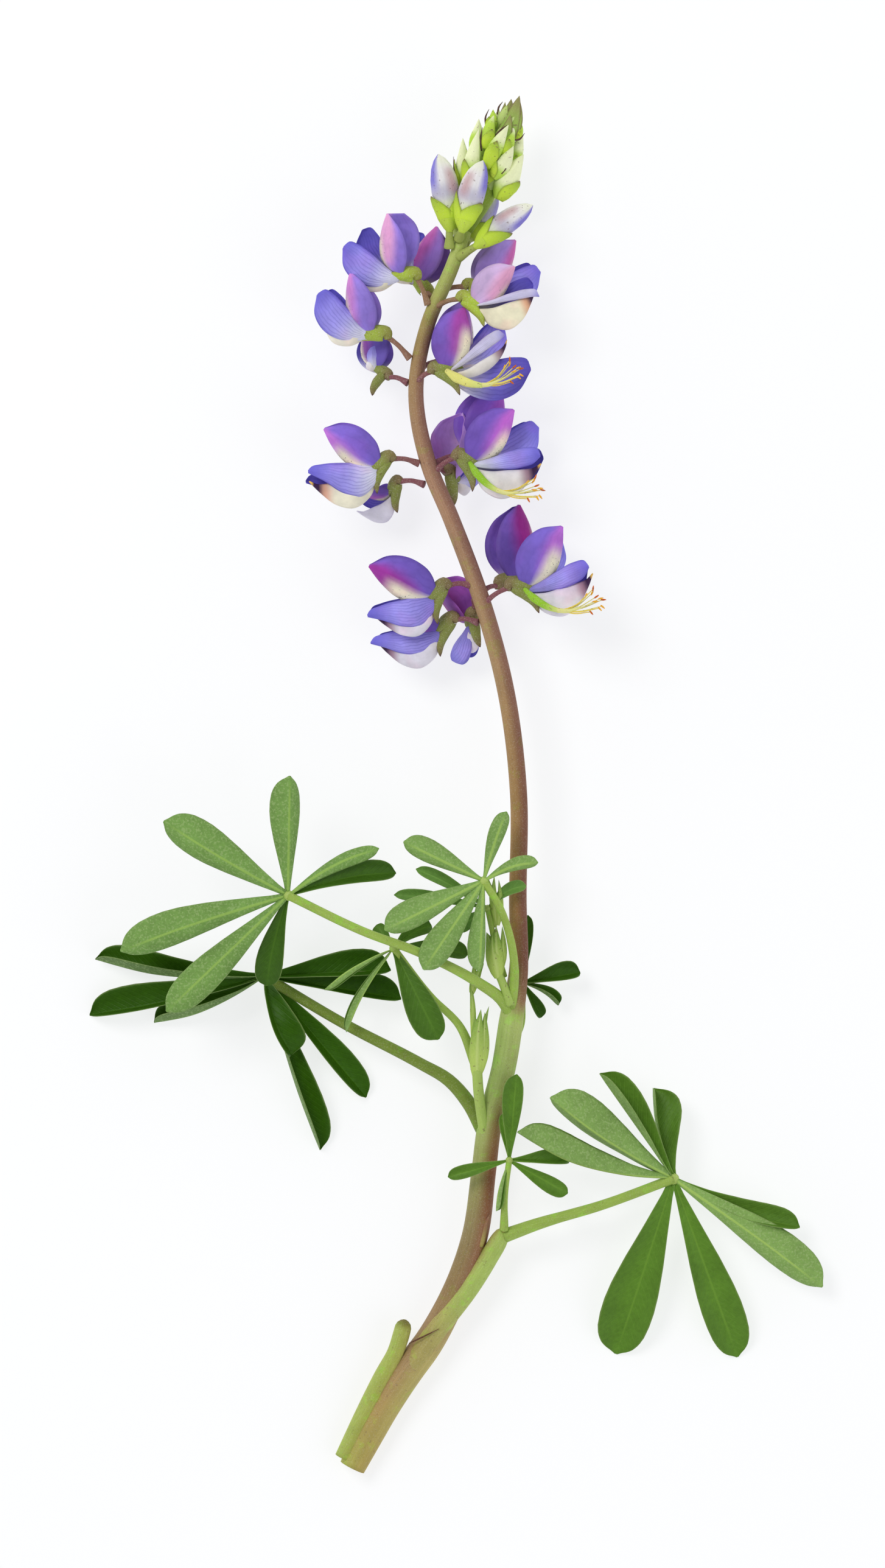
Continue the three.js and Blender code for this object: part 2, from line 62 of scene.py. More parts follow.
MM = 0.001
LEAST_HEIGHT = 0.00002  # nothing goes below this height over the ground, m
PETAL_THICKNESS = 0.16
LEAF_THICKNESS = 0.32
CALYX_THICKNESS = 0.26
SCALE_THICKNESS = 0.24
RIB_STRENGTH = 0.7

# Where the design's own extremes lie: the left leaf tip, the bud tip and the top of the stem.
DESIGN_LEFT = -73.0
DESIGN_TOP = 138.4
STEM_TOP = 17.0
low_corner, high_corner = start_bounds
SHIFT = np.array([
    low_corner.x / MM - DESIGN_LEFT,
    high_corner.y / MM - DESIGN_TOP,
    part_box("stem")[1].z / MM - STEM_TOP,
])


# ---- Colour -------------------------------------------------------------------------------------

def rgb(red, green, blue):
    """An sRGB colour, 0 to 255, as linear values."""
    c = np.array([red, green, blue], float) / 255
    return np.where(c <= 0.04045, c / 12.92, ((c + 0.055) / 1.055) ** 2.4)


def step(x, low, high):
    """Smooth 0 to 1 as x goes from low to high (either way round)."""
    t = np.clip((np.asarray(x, float) - low) / (high - low), 0, 1)
    return t * t * (3 - 2 * t)


def mix(a, b, t):
    t = np.asarray(t, float)[..., None]
    return a * (1 - t) + b * t


def sample(values, t):
    """Linear look-up of evenly spread values (or rows of values) at t in 0..1."""
    values = np.asarray(values, float)
    x = np.clip(np.asarray(t, float), 0, 1) * (len(values) - 1)
    i = np.minimum(x.astype(int), len(values) - 2)
    f = x - i
    if values.ndim > 1:
        f = f[..., None]
    return values[i] * (1 - f) + values[i + 1] * f


# ---- Curves and grids ---------------------------------------------------------------------------

def unit(v):
    v = np.asarray(v, float)
    return v / np.maximum(np.linalg.norm(v, axis=-1, keepdims=True), 1e-9)


def spline(points, ts):
    """Smooth curve through points (any number of columns), at shares ts of its chord length."""
    p = np.asarray(points, float)
    gaps = np.linalg.norm(np.diff(p[:, :3], axis=0), axis=1)
    s = np.concatenate([[0], np.cumsum(np.maximum(gaps, 1e-6))])
    s /= s[-1]
    slope = np.gradient(p, s, axis=0)
    ts = np.clip(np.asarray(ts, float), 0, 1)
    i = np.clip(np.searchsorted(s, ts, side="right") - 1, 0, len(s) - 2)
    h = (s[i + 1] - s[i])[:, None]
    u = ((ts - s[i])[:, None]) / h
    a = (1 + 2 * u) * (1 - u) ** 2 * p[i] + u * (1 - u) ** 2 * h * slope[i]
    b = u * u * (3 - 2 * u) * p[i + 1] + u * u * (u - 1) * h * slope[i + 1]
    return a + b


def along(path, facing):
    """Tangent, the direction nearest to `facing`, and the direction across, at each point of a path."""
    tangent = unit(np.gradient(path, axis=0))
    across = unit(np.cross(np.broadcast_to(facing, path.shape), tangent))
    return tangent, np.cross(tangent, across), across


def grid_faces(rows, columns, offset=0, wrap=False, flip=False):
    """Quads of a rows x columns block of vertices."""
    faces = []
    last = columns if wrap else columns - 1
    for r in range(rows - 1):
        for c in range(last):
            d = (c + 1) % columns
            quad = [r * columns + c, r * columns + d, (r + 1) * columns + d, (r + 1) * columns + c]
            faces.append([offset + k for k in (reversed(quad) if flip else quad)])
    return faces


def spread_over(us, vs):
    """u and v at every point of a grid with a column for each of us and a row for each of vs."""
    shape = (len(vs), len(us))
    return np.broadcast_to(us, shape), np.broadcast_to(vs[:, None], shape)


def bundle(verts, faces, form, tone, material=0, detail=None):
    """One closed surface: vertices, faces, (u, v, side) and colour at each vertex."""
    count = len(verts)
    detail = np.zeros((count, 3)) if detail is None else detail
    return {
        "verts": np.asarray(verts, float), "faces": faces, "form": np.asarray(form, float),
        "tone": np.broadcast_to(np.asarray(tone, float), (count, 3)).copy(),
        "detail": np.asarray(detail, float), "material": material,
    }


def rings(grid, u, v, tone, material=0):
    """A closed surface from a grid whose rows are rings. `tone` is a colour or a function of (u, v)."""
    rows, sides = grid.shape[:2]
    uu, vv = u.ravel(), v.ravel()
    faces = grid_faces(rows, sides, wrap=True)
    faces.append(list(reversed(range(sides))))
    faces.append([(rows - 1) * sides + k for k in range(sides)])
    colour = tone(uu, vv) if callable(tone) else tone
    form = np.stack([uu, vv, np.ones_like(uu)], 1)
    return bundle(grid.reshape(-1, 3), faces, form, colour, material)


def tube(points, radii, tone, sides=12, rows=24, facing=(0, 0, 1), material=0, round_end=False):
    """A closed round rod along a curve. `tone(u, v)` gives its colour round (u) and along (v) it."""
    ts = np.linspace(0, 1, rows + 1)
    if round_end:
        ts = np.sort(np.concatenate([ts, 1 - np.array([0.3, 0.15, 0.05]) / rows]))
    path = spline(points, ts)[:, :3]
    radius = sample(radii, ts)
    if round_end:
        left = np.linalg.norm(path - path[-1], axis=1) / radius
        radius = radius * np.sqrt(1 - np.clip(1 - left, 0, 0.97) ** 2)
    _, n, b = along(path, np.asarray(facing, float))
    angle = np.linspace(0, 2 * math.pi, sides, endpoint=False)
    ring = np.cos(angle)[None, :, None] * n[:, None] + np.sin(angle)[None, :, None] * b[:, None]
    u, v = spread_over(angle / (2 * math.pi), ts)
    return rings(path[:, None] + ring * radius[:, None, None], u, v, tone, material)


def sheet(grid, u, v, thickness, front, back, material=0, detail=None, edge=6.0):
    """A thin closed blade from a grid of points: `front` and `back` colour its two faces."""
    rows, columns = grid.shape[:2]
    du = np.gradient(grid, axis=1)
    dv = np.gradient(grid, axis=0)
    normal = np.cross(dv, du)
    size = np.linalg.norm(normal, axis=2, keepdims=True)
    normal = normal / np.maximum(size, 1e-9)
    middle = normal[rows // 2, columns // 2]
    normal = np.where(size > 1e-6, normal, middle)
    rim_u = np.minimum(u - u.min(), u.max() - u) / max(np.ptp(u), 1e-9)
    rim_v = np.minimum(v - v.min(), v.max() - v) / max(np.ptp(v), 1e-9)
    rim = np.clip(0.25 + edge * np.minimum(rim_u, rim_v), 0, 1)[..., None]
    lift = normal * thickness * 0.5 * rim
    verts = np.concatenate([(grid + lift).reshape(-1, 3), (grid - lift).reshape(-1, 3)])
    half = rows * columns
    faces = grid_faces(rows, columns, flip=True) + grid_faces(rows, columns, offset=half)
    border = list(range(columns))
    border += [r * columns + columns - 1 for r in range(1, rows)]
    border += [(rows - 1) * columns + c for c in range(columns - 2, -1, -1)]
    border += [r * columns for r in range(rows - 2, 0, -1)]
    for a, b in zip(border, border[1:] + border[:1]):
        faces.append([a, b, half + b, half + a])
    uu, vv = u.ravel(), v.ravel()
    side = np.concatenate([np.ones(half), -np.ones(half)])
    form = np.stack([np.tile(uu, 2), np.tile(vv, 2), side], 1)
    tone = np.concatenate([front(uu, vv), back(uu, vv)])
    extra = None if detail is None else np.tile(detail.reshape(-1, 3), (2, 1))
    return bundle(verts, faces, form, tone, material, extra)


# ---- Objects ------------------------------------------------------------------------------------

def build(name, bundles, materials, stands_for):
    """A piece from bundles of surfaces, on the object's body, standing for CAD nodes."""
    verts, faces, index = [], [], []
    total = 0
    for part in bundles:
        verts.append(part["verts"])
        faces += [[k + total for k in face] for face in part["faces"]]
        index += [part["material"]] * len(part["faces"])
        total += len(part["verts"])
    points = (np.concatenate(verts) + SHIFT) * MM
    points[:, 2] = np.maximum(points[:, 2], LEAST_HEIGHT)
    mesh = bpy.data.meshes.new(name)
    mesh.from_pydata(points.tolist(), [], faces)
    for key in ("form", "tone", "detail"):
        layer = mesh.attributes.new(key, "FLOAT_VECTOR", "POINT")
        values = np.concatenate([part[key] for part in bundles])
        layer.data.foreach_set("vector", values.astype(np.float32).ravel())
    for material in materials:
        mesh.materials.append(material)
    mesh.polygons.foreach_set("material_index", index)
    mesh.polygons.foreach_set("use_smooth", [True] * len(faces))
    mesh.update()
    piece = bpy.data.objects.new(name, mesh)
    bpy.context.scene.collection.objects.link(piece)
    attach(piece, "root")
    if stands_for:
        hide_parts(*stands_for)
    return piece


# ---- Materials ----------------------------------------------------------------------------------

class Graph:
    """Small helper that builds shader nodes."""

    def __init__(self, name):
        self.material = bpy.data.materials.new(name)
        self.material.use_nodes = True
        self.nodes = self.material.node_tree.nodes
        self.links = self.material.node_tree.links
        self.shader = self.nodes["Principled BSDF"]

    def node(self, kind, **settings):
        made = self.nodes.new(kind)
        for key, value in settings.items():
            setattr(made, key, value)
        return made

    def attribute(self, name):
        return self.node("ShaderNodeAttribute", attribute_name=name).outputs["Vector"]

    def split(self, vector):
        made = self.node("ShaderNodeSeparateXYZ")
        self.links.new(vector, made.inputs[0])
        return made.outputs

    def join(self, x, y, z):
        made = self.node("ShaderNodeCombineXYZ")
        for socket, value in zip(made.inputs, (x, y, z)):
            self.put(socket, value)
        return made.outputs[0]

    def put(self, socket, value):
        if isinstance(value, bpy.types.NodeSocket):
            self.links.new(value, socket)
        else:
            socket.default_value = value

    def math(self, operation, *values):
        made = self.node("ShaderNodeMath", operation=operation)
        for socket, value in zip(made.inputs, values):
            self.put(socket, value)
        return made.outputs[0]

    def times(self, a, b):
        return self.math("MULTIPLY", a, b)

    def plus(self, a, b):
        return self.math("ADD", a, b)

    def band(self, value, low, high):
        """Smooth 0 to 1 as value goes from low to high."""
        made = self.node("ShaderNodeMapRange", interpolation_type="SMOOTHSTEP")
        for socket, x in zip(made.inputs, (value, low, high, 0.0, 1.0)):
            self.put(socket, x)
        return made.outputs[0]

    def noise(self, vector, scale, detail=3.0, rough=0.5):
        made = self.node("ShaderNodeTexNoise")
        self.put(made.inputs["Vector"], vector)
        made.inputs["Scale"].default_value = scale
        made.inputs["Detail"].default_value = detail
        made.inputs["Roughness"].default_value = rough
        return made.outputs["Fac"]

    def position(self):
        return self.node("ShaderNodeTexCoord").outputs["Object"]

    def blend(self, factor, a, b, mode="MIX"):
        made = self.node("ShaderNodeMix", data_type="RGBA", blend_type=mode)
        self.put(made.inputs[0], factor)
        self.put(made.inputs[6], a)
        self.put(made.inputs[7], b)
        return made.outputs[2]

    def tinted(self, colour, by):
        return self.blend(1.0, colour, by, "MULTIPLY")

    def shaded(self, colour, shade):
        return self.tinted(colour, self.join(shade, shade, shade))

    def stripes(self, value, wide, thin):
        """Thin soft lines, one to each whole step of value."""
        off = self.math("ABSOLUTE", self.math("SUBTRACT", self.math("FRACT", value), 0.5))
        return self.band(off, wide, thin)

    def bump(self, height, strength, distance=0.0002):
        made = self.node("ShaderNodeBump")
        made.inputs["Strength"].default_value = strength
        made.inputs["Distance"].default_value = distance
        self.put(made.inputs["Height"], height)
        self.links.new(made.outputs[0], self.shader.inputs["Normal"])

    def finish(self, colour, roughness, **sockets):
        self.put(self.shader.inputs["Base Color"], colour)
        self.put(self.shader.inputs["Roughness"], roughness)
        for name, value in sockets.items():
            self.shader.inputs[name.replace("_", " ")].default_value = value
        return self.material


def petal_material():
    """Petal: colour from the mesh, fine veins that fan from the claw, and dots on the banner's patch."""
    g = Graph("petal")
    form = g.split(g.attribute("form"))
    detail = g.split(g.attribute("detail"))
    tone = g.attribute("tone")
    wander = g.noise(g.position(), 260.0, 3.0)
    fan = g.plus(g.times(form[0], 4.6), g.times(wander, 2.6))
    vein = g.times(g.stripes(fan, 0.24, 0.03), detail[0])
    darker = g.tinted(tone, (0.42, 0.4, 0.62, 1))
    colour = g.blend(g.times(vein, 0.42), tone, darker)
    speck = g.band(g.noise(g.position(), 2600.0, 1.0), 0.66, 0.72)
    colour = g.blend(g.times(speck, detail[1]), colour, (0.05, 0.01, 0.05, 1))
    cloud = g.noise(g.position(), 300.0, 4.0, 0.6)
    rosy = g.times(g.band(g.noise(g.position(), 170.0, 2.0), 0.5, 0.68), 0.3)
    colour = g.blend(rosy, colour, g.tinted(colour, (1.3, 0.86, 1.0, 1)))
    shade = g.plus(0.7, g.times(cloud, 0.62))
    colour = g.shaded(colour, shade)
    g.bump(g.plus(g.times(vein, -0.6), g.noise(g.position(), 900.0)), 0.35)
    return g.finish(colour, 0.5, Specular_IOR_Level=0.15)


def leaf_material():
    """Leaf: pale downy underside, smooth dark upper side, midrib, slanting veins and a light margin."""
    g = Graph("leaf")
    form = g.split(g.attribute("form"))
    detail = g.split(g.attribute("detail"))
    tone = g.attribute("tone")
    off = g.times(g.math("ABSOLUTE", form[0]), detail[0])
    rib = g.times(g.band(off, 0.3, 0.12), g.band(form[1], 1.0, 0.75))
    wander = g.times(g.noise(g.position(), 500.0, 2.0), 0.5)
    slant = g.plus(g.math("SUBTRACT", detail[1], g.times(off, 1.3)), wander)
    vein = g.stripes(g.math("DIVIDE", slant, 1.5), 0.14, 0.02)
    light = g.tinted(tone, (1.55, 1.4, 1.5, 1))
    colour = g.blend(g.times(vein, 0.22), tone, light)
    mottle = g.noise(g.position(), 1100.0, 3.0, 0.7)
    broad = g.noise(g.position(), 160.0, 2.0)
    uneven = g.plus(g.times(mottle, 0.55), g.times(broad, 0.4))
    shade = g.plus(0.52, uneven)
    colour = g.shaded(colour, shade)
    down = g.band(g.noise(g.position(), 2300.0, 1.0), 0.5, 0.66)
    under = g.band(form[2], 0.5, -0.5)
    downy = g.times(g.times(down, under), 0.34)
    colour = g.blend(downy, colour, (0.42, 0.56, 0.24, 1))
    rib_light = g.blend(under, (1.4, 1.28, 1.4, 1), (1.75, 1.5, 1.3, 1))
    rib_colour = g.tinted(tone, rib_light)
    colour = g.blend(g.times(rib, detail[2]), colour, rib_colour)
    margin = g.times(g.band(g.math("ABSOLUTE", form[0]), 0.93, 1.0), 0.45)
    colour = g.blend(margin, colour, (0.3, 0.4, 0.14, 1))
    rough = g.plus(0.42, g.times(under, 0.25))
    grain = g.times(g.noise(g.position(), 1500.0), 0.8)
    g.bump(g.plus(g.times(vein, -0.5), grain), 0.4)
    return g.finish(colour, rough, Specular_IOR_Level=0.14)


def green_material(name, streak, fuzz, blotch=0.0, specks=0.0):
    """Stem, calyx or bud: colour from the mesh with lengthwise streaks, patches, specks and fine down."""
    g = Graph(name)
    form = g.split(g.attribute("form"))
    tone = g.attribute("tone")
    stretched = g.join(g.times(form[0], 40.0), g.times(form[1], 18.0), 0.0)
    lines = g.noise(stretched, 1.0, 3.0)
    patch = g.noise(g.position(), 200.0, 4.0)
    mixed = g.plus(g.times(lines, streak), g.times(patch, 0.3))
    shade = g.plus(0.85 - 0.5 * streak, mixed)
    colour = g.shaded(tone, shade)
    green = g.times(g.band(g.noise(g.position(), 330.0, 3.0, 0.6), 0.56, 0.66), blotch)
    colour = g.blend(green, colour, g.tinted(colour, (0.95, 1.35, 0.7, 1)))
    dot = g.times(g.band(g.noise(g.position(), 1500.0, 1.0), 0.68, 0.73), specks)
    colour = g.blend(dot, colour, (0.16, 0.07, 0.06, 1))
    down = g.band(g.noise(g.position(), 4200.0, 1.0), 0.52, 0.7)
    colour = g.blend(g.times(down, fuzz), colour, (0.75, 0.72, 0.6, 1))
    g.bump(g.plus(lines, g.noise(g.position(), 2200.0)), 0.35)
    return g.finish(colour, 0.55, Specular_IOR_Level=0.18)


PETAL = petal_material()
LEAF = leaf_material()
STEM = green_material("stem", 0.45, 0.12, blotch=0.5, specks=0.3)
CALYX = green_material("calyx", 0.3, 0.2, specks=0.5)
BUD = green_material("bud", 0.22, 0.08, specks=0.55)


# ---- Stem ---------------------------------------------------------------------------------------

# Axis of the stem from the cut end to the tip: x, y, z, radius.
STEM_AXIS = [
    (-20.7, -135.2, 3.4, 2.6), (-18.0, -129.9, 3.5, 2.9), (-13.9, -122.4, 3.9, 3.1),
    (-10.2, -116.6, 4.4, 3.2), (-5.6, -110.4, 5.0, 3.0), (-2.3, -104.6, 5.6, 2.8),
    (1.0, -97.2, 6.2, 2.6), (3.6, -89.2, 7.0, 2.6), (5.4, -76.1, 8.4, 2.45),
    (6.6, -66.5, 9.4, 2.4), (9.4, -55.1, 10.6, 2.4), (10.9, -45.5, 11.6, 2.4),
    (12.2, -36.8, 12.3, 1.9), (12.1, -22.3, 13.2, 1.75), (12.2, -0.8, 14.2, 1.7),
    (9.3, 21.0, 14.9, 1.7), (6.1, 33.1, 15.2, 1.7), (-1.1, 53.0, 15.4, 1.65),
    (-5.5, 63.6, 15.4, 1.6), (-8.0, 78.4, 15.2, 1.5), (-5.7, 91.0, 15.0, 1.45),
    (-0.9, 102.4, 14.8, 1.4), (1.7, 109.6, 14.6, 1.3),
]
SIDE_BRANCH = [
    (-13.0, -121.5, 4.2, 1.6), (-8.2, -114.0, 5.6, 2.3), (-3.2, -106.6, 6.6, 2.2),
    (2.6, -99.0, 7.2, 2.1), (6.4, -93.2, 7.8, 1.9), (8.7, -89.2, 8.3, 1.7), (9.6, -87.4, 8.5, 1.2),
]
STUB = [
    (-22.6, -133.2, 4.0, 1.6), (-18.6, -125.0, 4.6, 1.8), (-14.6, -116.9, 5.4, 1.8),
    (-12.0, -111.8, 6.2, 1.65), (-10.9, -108.4, 6.6, 1.7), (-10.2, -105.6, 6.8, 1.6),
]
# Thin pointed scales at the nodes: root, tip, half-width.
STIPULES = [
    ((11.2, -44.8, 13.6), (13.4, -37.4, 13.9), 0.7), ((4.8, -66.4, 11.0), (5.0, -59.0, 12.6), 0.6),
    ((4.6, -91.0, 9.0), (6.6, -84.6, 9.6), 0.9), ((9.6, -88.4, 9.6), (9.7, -84.4, 11.0), 0.6),
]
# Split in the skin where the side branch leaves.
CRACK = [(-9.4, -110.2, 8.0), (-7.4, -109.2, 8.7), (-5.4, -108.2, 9.0), (-3.4, -107.2, 9.0)]
# Colour by height along the stem: y, its left flank, its right flank.
STEM_TONES = [
    (-136, rgb(176, 178, 88), rgb(178, 158, 84)), (-124, rgb(178, 150, 92), rgb(176, 162, 92)),
    (-112, rgb(168, 138, 100), rgb(186, 172, 104)), (-100, rgb(148, 122, 80), rgb(156, 116, 88)),
    (-86, rgb(146, 132, 88), rgb(144, 96, 70)), (-74, rgb(158, 162, 96), rgb(140, 84, 58)),
    (-66, rgb(164, 180, 104), rgb(144, 116, 72)), (-56, rgb(160, 182, 102), rgb(158, 172, 98)),
    (-46, rgb(176, 198, 112), rgb(170, 186, 104)), (-42, rgb(172, 178, 104), rgb(142, 108, 74)),
    (-34, rgb(158, 118, 74), rgb(118, 74, 58)), (0, rgb(162, 128, 82), rgb(128, 86, 66)),
    (30, rgb(172, 140, 102), rgb(140, 100, 84)), (60, rgb(174, 134, 106), rgb(148, 106, 92)),
    (84, rgb(166, 136, 92), rgb(150, 108, 90)), (92, rgb(166, 150, 88), rgb(150, 118, 86)),
    (98, rgb(180, 190, 104), rgb(160, 160, 90)), (112, rgb(190, 210, 112), rgb(174, 194, 96)),
]


def stem_tone(axis):
    """Tone function for the main stem: blends the flanks round it and the rows along it."""
    ys = np.array([row[0] for row in STEM_TONES])
    flanks = np.array([row[1:] for row in STEM_TONES])

    def tone(u, v):
        y = spline(axis, v)[:, 1]
        left, right = (np.stack([np.interp(y, ys, flanks[:, side, k]) for k in range(3)], 1)
                       for side in (0, 1))
        return mix(right, left, step(np.sin(u * 2 * math.pi), -0.7, 0.5))
    return tone


def rod_through(rows, tone, sides=20, count=120, round_end=False):
    """A rod through rows of x, y, z, radius."""
    radii = spline(rows, np.linspace(0, 1, 60))[:, 3]
    return tube(np.array(rows)[:, :3], radii, tone, sides, count, round_end=round_end)


def branch_tone(u, v):
    pale = mix(rgb(178, 166, 98), rgb(170, 192, 98), step(v, 0.3, 0.7))
    return mix(pale, rgb(172, 150, 92), step(np.sin(u * 2 * math.pi), 0.2, 1.0) * 0.6)


def stub_tone(u, v):
    side = mix(rgb(172, 178, 84), rgb(168, 184, 92), step(np.sin(u * 2 * math.pi), -0.6, 0.8))
    side = mix(side, rgb(196, 196, 110), step(np.abs(np.cos(u * 2 * math.pi + 1.2)), 0.75, 1.0) * 0.6)
    return mix(side, rgb(122, 116, 56), step(v, 0.93, 0.99))


def stipule_tone(u, v):
    return mix(rgb(172, 158, 88), rgb(150, 108, 84), step(v, 0.1, 0.8))


def stem_piece():
    parts = [
        tube(np.array(CRACK), [0.1, 0.2, 0.16, 0.05], rgb(104, 66, 48), 6, 16),
        rod_through(STEM_AXIS, stem_tone(STEM_AXIS), 24, 240),
        rod_through(SIDE_BRANCH, branch_tone, 18, 40, round_end=True),
        rod_through(STUB, stub_tone, 18, 40, round_end=True),
    ]
    for root, tip, half in STIPULES:
        parts.append(lip(root, tip, half, stipule_tone, 0.3))
    return build("stem_visual", parts, [STEM], ["stem"])


# ---- Leaves -------------------------------------------------------------------------------------

UPPER = rgb(91, 132, 42)
UNDER = rgb(128, 163, 86)
DARK_UPPER = rgb(54, 96, 12)
DARK_UNDER = rgb(104, 134, 76)
MID_UPPER = rgb(62, 100, 24)
SOFT_UPPER = rgb(104, 146, 66)
# Outline of a leaflet: shares of its length, and of its full half-width there.
LEAFLET_TS = (0, 0.08, 0.25, 0.45, 0.6, 0.7, 0.78, 0.85, 0.9, 0.94, 0.965, 0.985, 1.0)
LEAFLET_WIDTHS = (0.13, 0.2, 0.45, 0.76, 0.94, 1.0, 0.99, 0.93, 0.82, 0.65, 0.46, 0.2, 0.05)

# Each leaf: petiole from the stem to the hub and its radius, colours of its two sides, then its leaflets.
# A leaflet: tip x, y, z; how far its left and right halves reach across it as seen from above (below
# zero: folded over the midrib); 1 if its upper side is up, -1 if its underside; rise and sideways bow of
# its middle.
LEAVES = {
    "leaf_a": {
        "petiole": [(11.2, -45.6, 11.8), (8.6, -41.6, 14.6), (4.8, -38.8, 16.8), (-7.4, -32.4, 20.5),
                    (-18, -28.4, 22), (-33, -21.2, 23)],
        "radius": 0.85, "upper": MID_UPPER, "under": rgb(116, 154, 78),
        "leaflets": [
            (-32.6, 2.2, 24, 3.9, 2.0, -1, 1.5, 0), (-57.3, -6.7, 25, 2.8, 4.6, -1, 2, 0.3),
            (-65.9, -32.2, 21, 2.7, 4.3, -1, 3, -0.5), (-57.0, -44.1, 19, 3.4, 3.4, -1, 3, 0),
            (-37.4, -39.2, 15, 2.6, 2.8, 1, 1, -0.5), (-15.2, -12, 22, 1.5, 1.6, -1, 1, 1.0),
            (-11.9, -16.9, 18.5, 3.0, 1.3, 1, 1, 0.9),
        ],
    },
    "leaf_b": {
        "petiole": [(5.4, -68.0, 8.8), (2.6, -62.8, 8.6), (-1.6, -58.0, 8.2), (-7.1, -54.8, 8),
                    (-22.3, -46.9, 7), (-38, -37.6, 6.5)],
        "radius": 1.05, "upper": DARK_UPPER, "under": DARK_UNDER,
        "leaflets": [
            (-71.8, -34.3, 3, -1.6, 4.6, 1, 3, 1.6), (-73, -45.5, 0.9, 0.5, 4.8, 1, 2, 0.6),
            (-60.1, -46.9, 2.5, -1.6, 4.0, 1, 2, 1.5), (-32.7, -53, 9.5, 4.8, 0.6, 1, 4, -0.9),
            (-27.2, -72.3, 0.9, 4.4, -0.7, 1, 2, -0.6), (-18, -61.8, 1.2, 3.7, 1.2, 1, 1.5, 0),
            (-13, -36.4, 6, 4.7, 0.6, 1, 1, 0), (-11, -42.2, 4, 4.4, 0.6, 1, 1, 0),
        ],
    },
    "leaf_c": {
        "petiole": [(10.8, -43.4, 13.2), (11.4, -35.4, 16.2), (10.6, -29.9, 18), (8.4, -23.5, 20.4),
                    (5.3, -18.4, 22)],
        "radius": 0.75, "upper": UPPER, "under": rgb(124, 160, 84),
        "leaflets": [
            (9.8, -4.8, 23, 1.9, 1.4, -1, 0.5, 0.3), (-10.4, -10.7, 24, 1.7, 2.9, -1, 1, 0),
            (-14.1, -28, 23, 2.3, 3.4, -1, 1.5, 0), (-6.5, -35.8, 22, 2.8, 3.2, -1, 1.5, 0),
            (4.5, -36.2, 21, 0.9, 2.6, -1, 1, 0), (16, -14.8, 21, 1.7, 1.0, -1, 0.5, 0.8),
        ],
    },
    "leaf_c2": {
        "petiole": [(9.2, -37.4, 13.6), (7.4, -30, 16), (6.1, -23.8, 17.4)],
        "radius": 0.55, "upper": SOFT_UPPER, "under": UNDER,
        "leaflets": [
            (-8, -16.1, 18.5, 0.9, 1.6, 1, 0.5, -0.4), (-12.3, -21.2, 17.5, 1.0, 1.5, 1, 0.5, -0.4),
            (13.7, -19.4, 17.5, 1.6, 0.9, 1, 0.4, 0.8), (0, -28, 15.5, 1.5, 1.5, 1, 0, 0),
        ],
    },
    "leaf_d": {
        "petiole": [(3.8, -54.8, 11.4), (0.5, -47, 12.6), (-4.8, -41.6, 13.4), (-12.4, -31.8, 14)],
        "radius": 0.7, "upper": rgb(74, 112, 34), "under": UNDER,
        "leaflets": [
            (-26.1, -40, 13, 1.3, -1.0, 1, 1, -0.8), (-21.7, -48.4, 11.5, -1.2, 1.5, 1, 1, -0.7),
            (-3.5, -49.7, 15.5, 2.9, 3.6, 1, 1, 0), (-15.8, -27.2, 12, 1.5, 1.3, 1, 0.3, 0),
            (-4.9, -27.4, 11, 2.4, 1.2, 1, 0.3, 0.6), (2.2, -33.2, 9.5, 2.4, 1.2, 1, 0.5, 0.6),
        ],
    },
    "leaf_e": {
        "petiole": [(9.4, -87.6, 9.8), (9.6, -80, 12.6), (10.4, -73.6, 13.6)],
        "radius": 0.6, "upper": UPPER, "under": UNDER,
        "leaflets": [
            (11.9, -56.6, 14.5, 2.5, 1.6, 1, 0.5, 0), (-1.7, -76.9, 13.4, 1.1, 1.6, 1, 0.8, 0),
            (7.8, -83.7, 12.6, 1.4, -0.8, 1, 0.4, -0.5), (22, -80.3, 11, 1.5, 1.9, 1, 0.6, 0),
            (22.3, -74, 9, 2.6, 0.5, 1, 0.5, 0), (9.0, -64.6, 11.5, 0.9, 0.8, 1, 0.3, 0),
        ],
    },
    "leaf_f": {
        "petiole": [(9.6, -88.8, 8.6), (15.6, -86.6, 9.4), (29, -82.6, 10), (42.9, -77.5, 9.5)],
        "radius": 0.95, "upper": UPPER, "under": UNDER,
        "leaflets": [
            (11.9, -67.9, 17.5, -4.9, 4.5, -1, 1.5, 2.4), (18.4, -61.1, 16.5, 1.3, 5.5, -1, 2, 0.8),
            (28.2, -56.6, 12, -1.5, 4.6, 1, 1, 0), (39.0, -59.8, 5, -0.3, 5.4, 1, 0.5, 0.9),
            (68.1, -87.4, 6, 3.6, 0.6, 1, 1, -1.5), (72.6, -99.2, 6, 4.6, 2.6, -1, 3, 0.4),
            (56.0, -113.5, 0.9, 4.4, 3.8, 1, 2, 0), (31.8, -112.9, 0.9, 4.5, 5.8, 1, 2, 0),
        ],
    },
    "leaf_g": {
        "petiole": [(10.4, -52, 7), (13, -47, 6.4), (13.2, -43, 6.2), (13.2, -38.8, 6.5)],
        "radius": 0.5, "upper": rgb(52, 92, 14), "under": DARK_UNDER,
        "leaflets": [
            (24.6, -36.9, 5.5, 2.9, 0.8, 1, 0.6, 0), (20.2, -43.4, 4.5, 2.0, -0.7, 1, 0.5, 0.5),
            (16.9, -45.8, 3.5, 1.6, 0.7, 1, 0.3, 0), (14.2, -25.4, 6.5, 1.5, 1.3, 1, 0.3, 0),
        ],
    },
}


